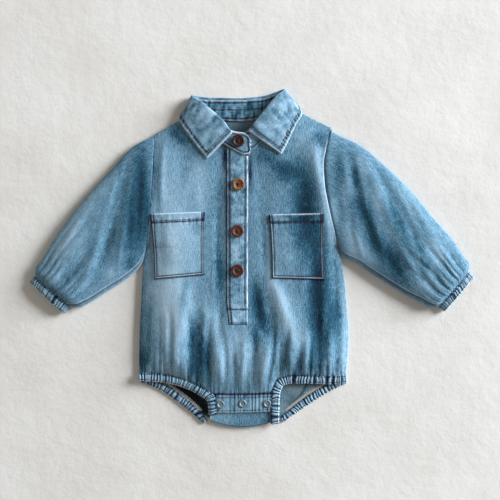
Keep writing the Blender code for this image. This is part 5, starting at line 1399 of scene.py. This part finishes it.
def stitchTree(name):
    # Short round stitches along every line of the input, each turned to lie on the cloth.
    tree = bpy.data.node_groups.new(name, "GeometryNodeTree")
    tree.is_modifier = True
    tree.interface.new_socket("Geometry", in_out="INPUT", socket_type="NodeSocketGeometry")
    for label, value in (("Pitch", 0.0027), ("Length", 0.0021), ("Width", 0.0005), ("Dip", 0.0003), ("Turn", 0.0)):
        socket = tree.interface.new_socket(label, in_out="INPUT", socket_type="NodeSocketFloat")
        socket.default_value = value
    tree.interface.new_socket("Seed", in_out="INPUT", socket_type="NodeSocketInt")
    tree.interface.new_socket("Thread", in_out="INPUT", socket_type="NodeSocketMaterial")
    tree.interface.new_socket("Geometry", in_out="OUTPUT", socket_type="NodeSocketGeometry")
    given = tree.nodes.new("NodeGroupInput").outputs
    curve = addNode(tree, "GeometryNodeMeshToCurve", Mesh=given["Geometry"]).outputs[0]
    resample = addNode(tree, "GeometryNodeResampleCurve", {"mode": "LENGTH"}, Curve=curve, Length=given["Pitch"])
    half = addNode(tree, "ShaderNodeMath", {"operation": "MULTIPLY"}, _0=given["Length"], _1=0.5).outputs[0]
    back = addNode(tree, "ShaderNodeMath", {"operation": "MULTIPLY"}, _0=half, _1=-1.0).outputs[0]
    under = addNode(tree, "ShaderNodeMath", {"operation": "MULTIPLY"}, _0=given["Dip"], _1=-1.0).outputs[0]
    start = addNode(tree, "ShaderNodeCombineXYZ", X=back, Z=under).outputs[0]
    end = addNode(tree, "ShaderNodeCombineXYZ", X=half, Z=under).outputs[0]
    top = addNode(tree, "ShaderNodeCombineXYZ", Z=given["Dip"]).outputs[0]
    arc = addNode(tree, "GeometryNodeCurveQuadraticBezier", Resolution=4, Start=start, Middle=top, End=end).outputs[0]
    radius = addNode(tree, "ShaderNodeMath", {"operation": "MULTIPLY"}, _0=given["Width"], _1=0.5).outputs[0]
    ring = addNode(tree, "GeometryNodeCurvePrimitiveCircle", Resolution=5, Radius=radius).outputs[0]
    strand = addNode(tree, "GeometryNodeCurveToMesh", Curve=arc, Profile_Curve=ring, Fill_Caps=True).outputs[0]
    tangent = addNode(tree, "GeometryNodeInputTangent").outputs[0]
    up = addNode(tree, "GeometryNodeInputNamedAttribute", {"data_type": "FLOAT_VECTOR"}, Name="up").outputs[0]
    lying = addNode(tree, "FunctionNodeAlignRotationToVector", {"axis": "X"}, Vector=tangent).outputs[0]
    standing = addNode(tree, "FunctionNodeAlignRotationToVector", {"axis": "Z", "pivot_axis": "X"}, Rotation=lying,
                       Vector=up).outputs[0]
    wobble = addNode(tree, "FunctionNodeRandomValue", {"data_type": "FLOAT"}, _2=-0.12, _3=0.12,
                     Seed=given["Seed"]).outputs[1]
    turn = addNode(tree, "ShaderNodeMath", {"operation": "ADD"}, _0=wobble, _1=given["Turn"]).outputs[0]
    spin = addNode(tree, "ShaderNodeCombineXYZ", Z=turn).outputs[0]
    spinRotation = addNode(tree, "FunctionNodeEulerToRotation", Euler=spin).outputs[0]
    rotated = addNode(tree, "FunctionNodeRotateRotation", {"rotation_space": "LOCAL"}, Rotation=standing,
                      Rotate_By=spinRotation).outputs[0]
    size = addNode(tree, "FunctionNodeRandomValue", {"data_type": "FLOAT"}, _2=0.85, _3=1.12,
                   Seed=given["Seed"]).outputs[1]
    spread = addNode(tree, "GeometryNodeInstanceOnPoints", Points=resample.outputs[0], Instance=strand,
                     Rotation=rotated, Scale=size).outputs[0]
    real = addNode(tree, "GeometryNodeRealizeInstances", Geometry=spread).outputs[0]
    coloured = addNode(tree, "GeometryNodeSetMaterial", Geometry=real, Material=given["Thread"]).outputs[0]
    shaded = addNode(tree, "GeometryNodeSetShadeSmooth", Geometry=coloured).outputs[0]
    addNode(tree, "NodeGroupOutput", Geometry=shaded)
    return tree


def makeStitches():
    tree = stitchTree("stitchesAlongLines")
    keys = {item.name: item.identifier for item in tree.interface.items_tree if item.in_out == "INPUT"}
    for row, (colour, lines) in enumerate(stitchLines.items()):
        if not lines:
            continue
        points = np.concatenate([line for line, _ in lines])
        ups = np.concatenate([up for _, up in lines])
        edges, start = [], 0
        for line, _ in lines:
            edges += [(start + k, start + k + 1) for k in range(len(line) - 1)]
            start += len(line)
        mesh = bpy.data.meshes.new("lines")
        mesh.from_pydata((points * millimetre).tolist(), edges, [])
        upward = mesh.attributes.new("up", "FLOAT_VECTOR", "POINT")
        upward.data.foreach_set("vector", ups.reshape(-1).astype(np.float32))
        piece = bpy.data.objects.new("stitches" + colour.capitalize(), mesh)
        bpy.context.scene.collection.objects.link(piece)
        look = stitchLook[colour]
        nodes = piece.modifiers.new("stitches", "NODES")
        nodes.node_group = tree
        values = {"Pitch": look["pitch"] * millimetre, "Length": look["length"] * millimetre,
                  "Width": look["width"] * millimetre, "Dip": look["width"] * 0.5 * millimetre,
                  "Turn": 1.15 if colour == "overlock" else 0.0, "Seed": 11 + row,
                  "Thread": thread(colour + "Thread", threadLook[colour])}
        for label, value in values.items():
            nodes[keys[label]] = value
        bpy.context.view_layer.update()
        made = bpy.data.meshes.new_from_object(piece.evaluated_get(bpy.context.evaluated_depsgraph_get()))
        piece.modifiers.clear()
        piece.data = made
        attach(piece, "root")
        print("stitches", colour, len(made.polygons))


# ------------------------------------------------------------- the garment

backFace, backInside = makeBack()
frontFace = makeFront()
print("body made")
makePlacket()
makePocket(0, "pocketRight", "pocket_right", 41, 0.03)
makePocket(1, "pocketLeft", "pocket_left", 44, -0.02)
makeSleeve("sleeveRight", "sleeve_right", sleeveRight, sleeveRightFolds, sleeveRightCreases, sleeveRightPaintedShading,
           sideRight, -1, 81)
makeSleeve("sleeveLeft", "sleeve_left", sleeveLeft, sleeveLeftFolds, sleeveLeftCreases, sleeveLeftPaintedShading,
           sideLeft, 1, 86)
makeCuff("cuffRight", "cuff_right", cuffRight, 91)
makeCuff("cuffLeft", "cuff_left", cuffLeft, 94)
print("sleeves made")
legUnderside = 2 * foldRadius + 0.5
makeCasing("legBandFrontRight", "leg_band_front_right", legSeamRight, (8.2, 9.0), 29, legUnderside, 1, 21, True)
makeCasing("legBandFrontLeft", "leg_band_front_left", legSeamLeft, (7.8, 8.8), 33, legUnderside, -1, 22, True)
makeCasing("legBandBackRight", "leg_band_back_right", backCasingRight, (6.0, 9.0), 19, 0.0, 1, 23, False)
makeCasing("legBandBackLeft", "leg_band_back_left", backCasingLeft, (6.0, 9.0), 21, 0.0, -1, 24, False)
makeSnaps(makeCrotchBand())
makeCollar()
makeStand()
print("collar made")
makeButtons()
makeStitches()
print("sewing made")

# ------------------------------------------------------------- floor, light and camera

stageLook = {"floorSize": 6.0, "key": 655.0, "fill": 1.5, "sky": 0.265}
pictureLook = {"x": -2.1, "y": 11.7, "wide": 600.0, "lens": 85.0, "sensor": 36.0, "clothHeight": 10.0}


def makeStage():
    half = stageLook["floorSize"] / 2
    mesh = bpy.data.meshes.new("floor")
    mesh.from_pydata([(-half, -half, -0.0004), (half, -half, -0.0004), (half, half, -0.0004), (-half, half, -0.0004)],
                     [], [(0, 1, 2, 3)])
    mesh.materials.append(plaster("palePlaster"))
    floor = bpy.data.objects.new("floor", mesh)
    bpy.context.scene.collection.objects.link(floor)
    for name, place, size, power in (("keyLight", (4.5, 2.0, 1.55), 2.4, stageLook["key"]),
                                     ("fillLight", (-1.2, -0.5, 1.4), 1.2, stageLook["fill"])):
        lamp = bpy.data.lights.new(name, "AREA")
        lamp.shape = "SQUARE"
        lamp.size = size
        lamp.energy = power
        lamp.color = srgb("#F8FBFF" if name == "keyLight" else "#FFF6EC")[:3]
        lampObject = bpy.data.objects.new(name, lamp)
        lampObject.location = place
        lampObject.rotation_mode = "QUATERNION"
        lampObject.rotation_quaternion = Vector(place).to_track_quat("Z", "Y")
        bpy.context.scene.collection.objects.link(lampObject)
    world = bpy.data.worlds.new("paleRoom")
    world.use_nodes = True
    world.node_tree.nodes["Background"].inputs["Color"].default_value = srgb("#F4ECE1")
    world.node_tree.nodes["Background"].inputs["Strength"].default_value = stageLook["sky"]
    bpy.context.scene.world = world
    bpy.context.scene.view_settings.view_transform = "Standard"


def makeCamera():
    camera = bpy.data.cameras.new("camera")
    camera.lens = pictureLook["lens"]
    camera.sensor_width = pictureLook["sensor"]
    holder = bpy.data.objects.new("camera", camera)
    distance = pictureLook["wide"] * pictureLook["lens"] / pictureLook["sensor"] + pictureLook["clothHeight"]
    holder.location = Vector((pictureLook["x"], pictureLook["y"], distance)) * millimetre
    bpy.context.scene.collection.objects.link(holder)
    bpy.context.scene.camera = holder


makeStage()
makeCamera()
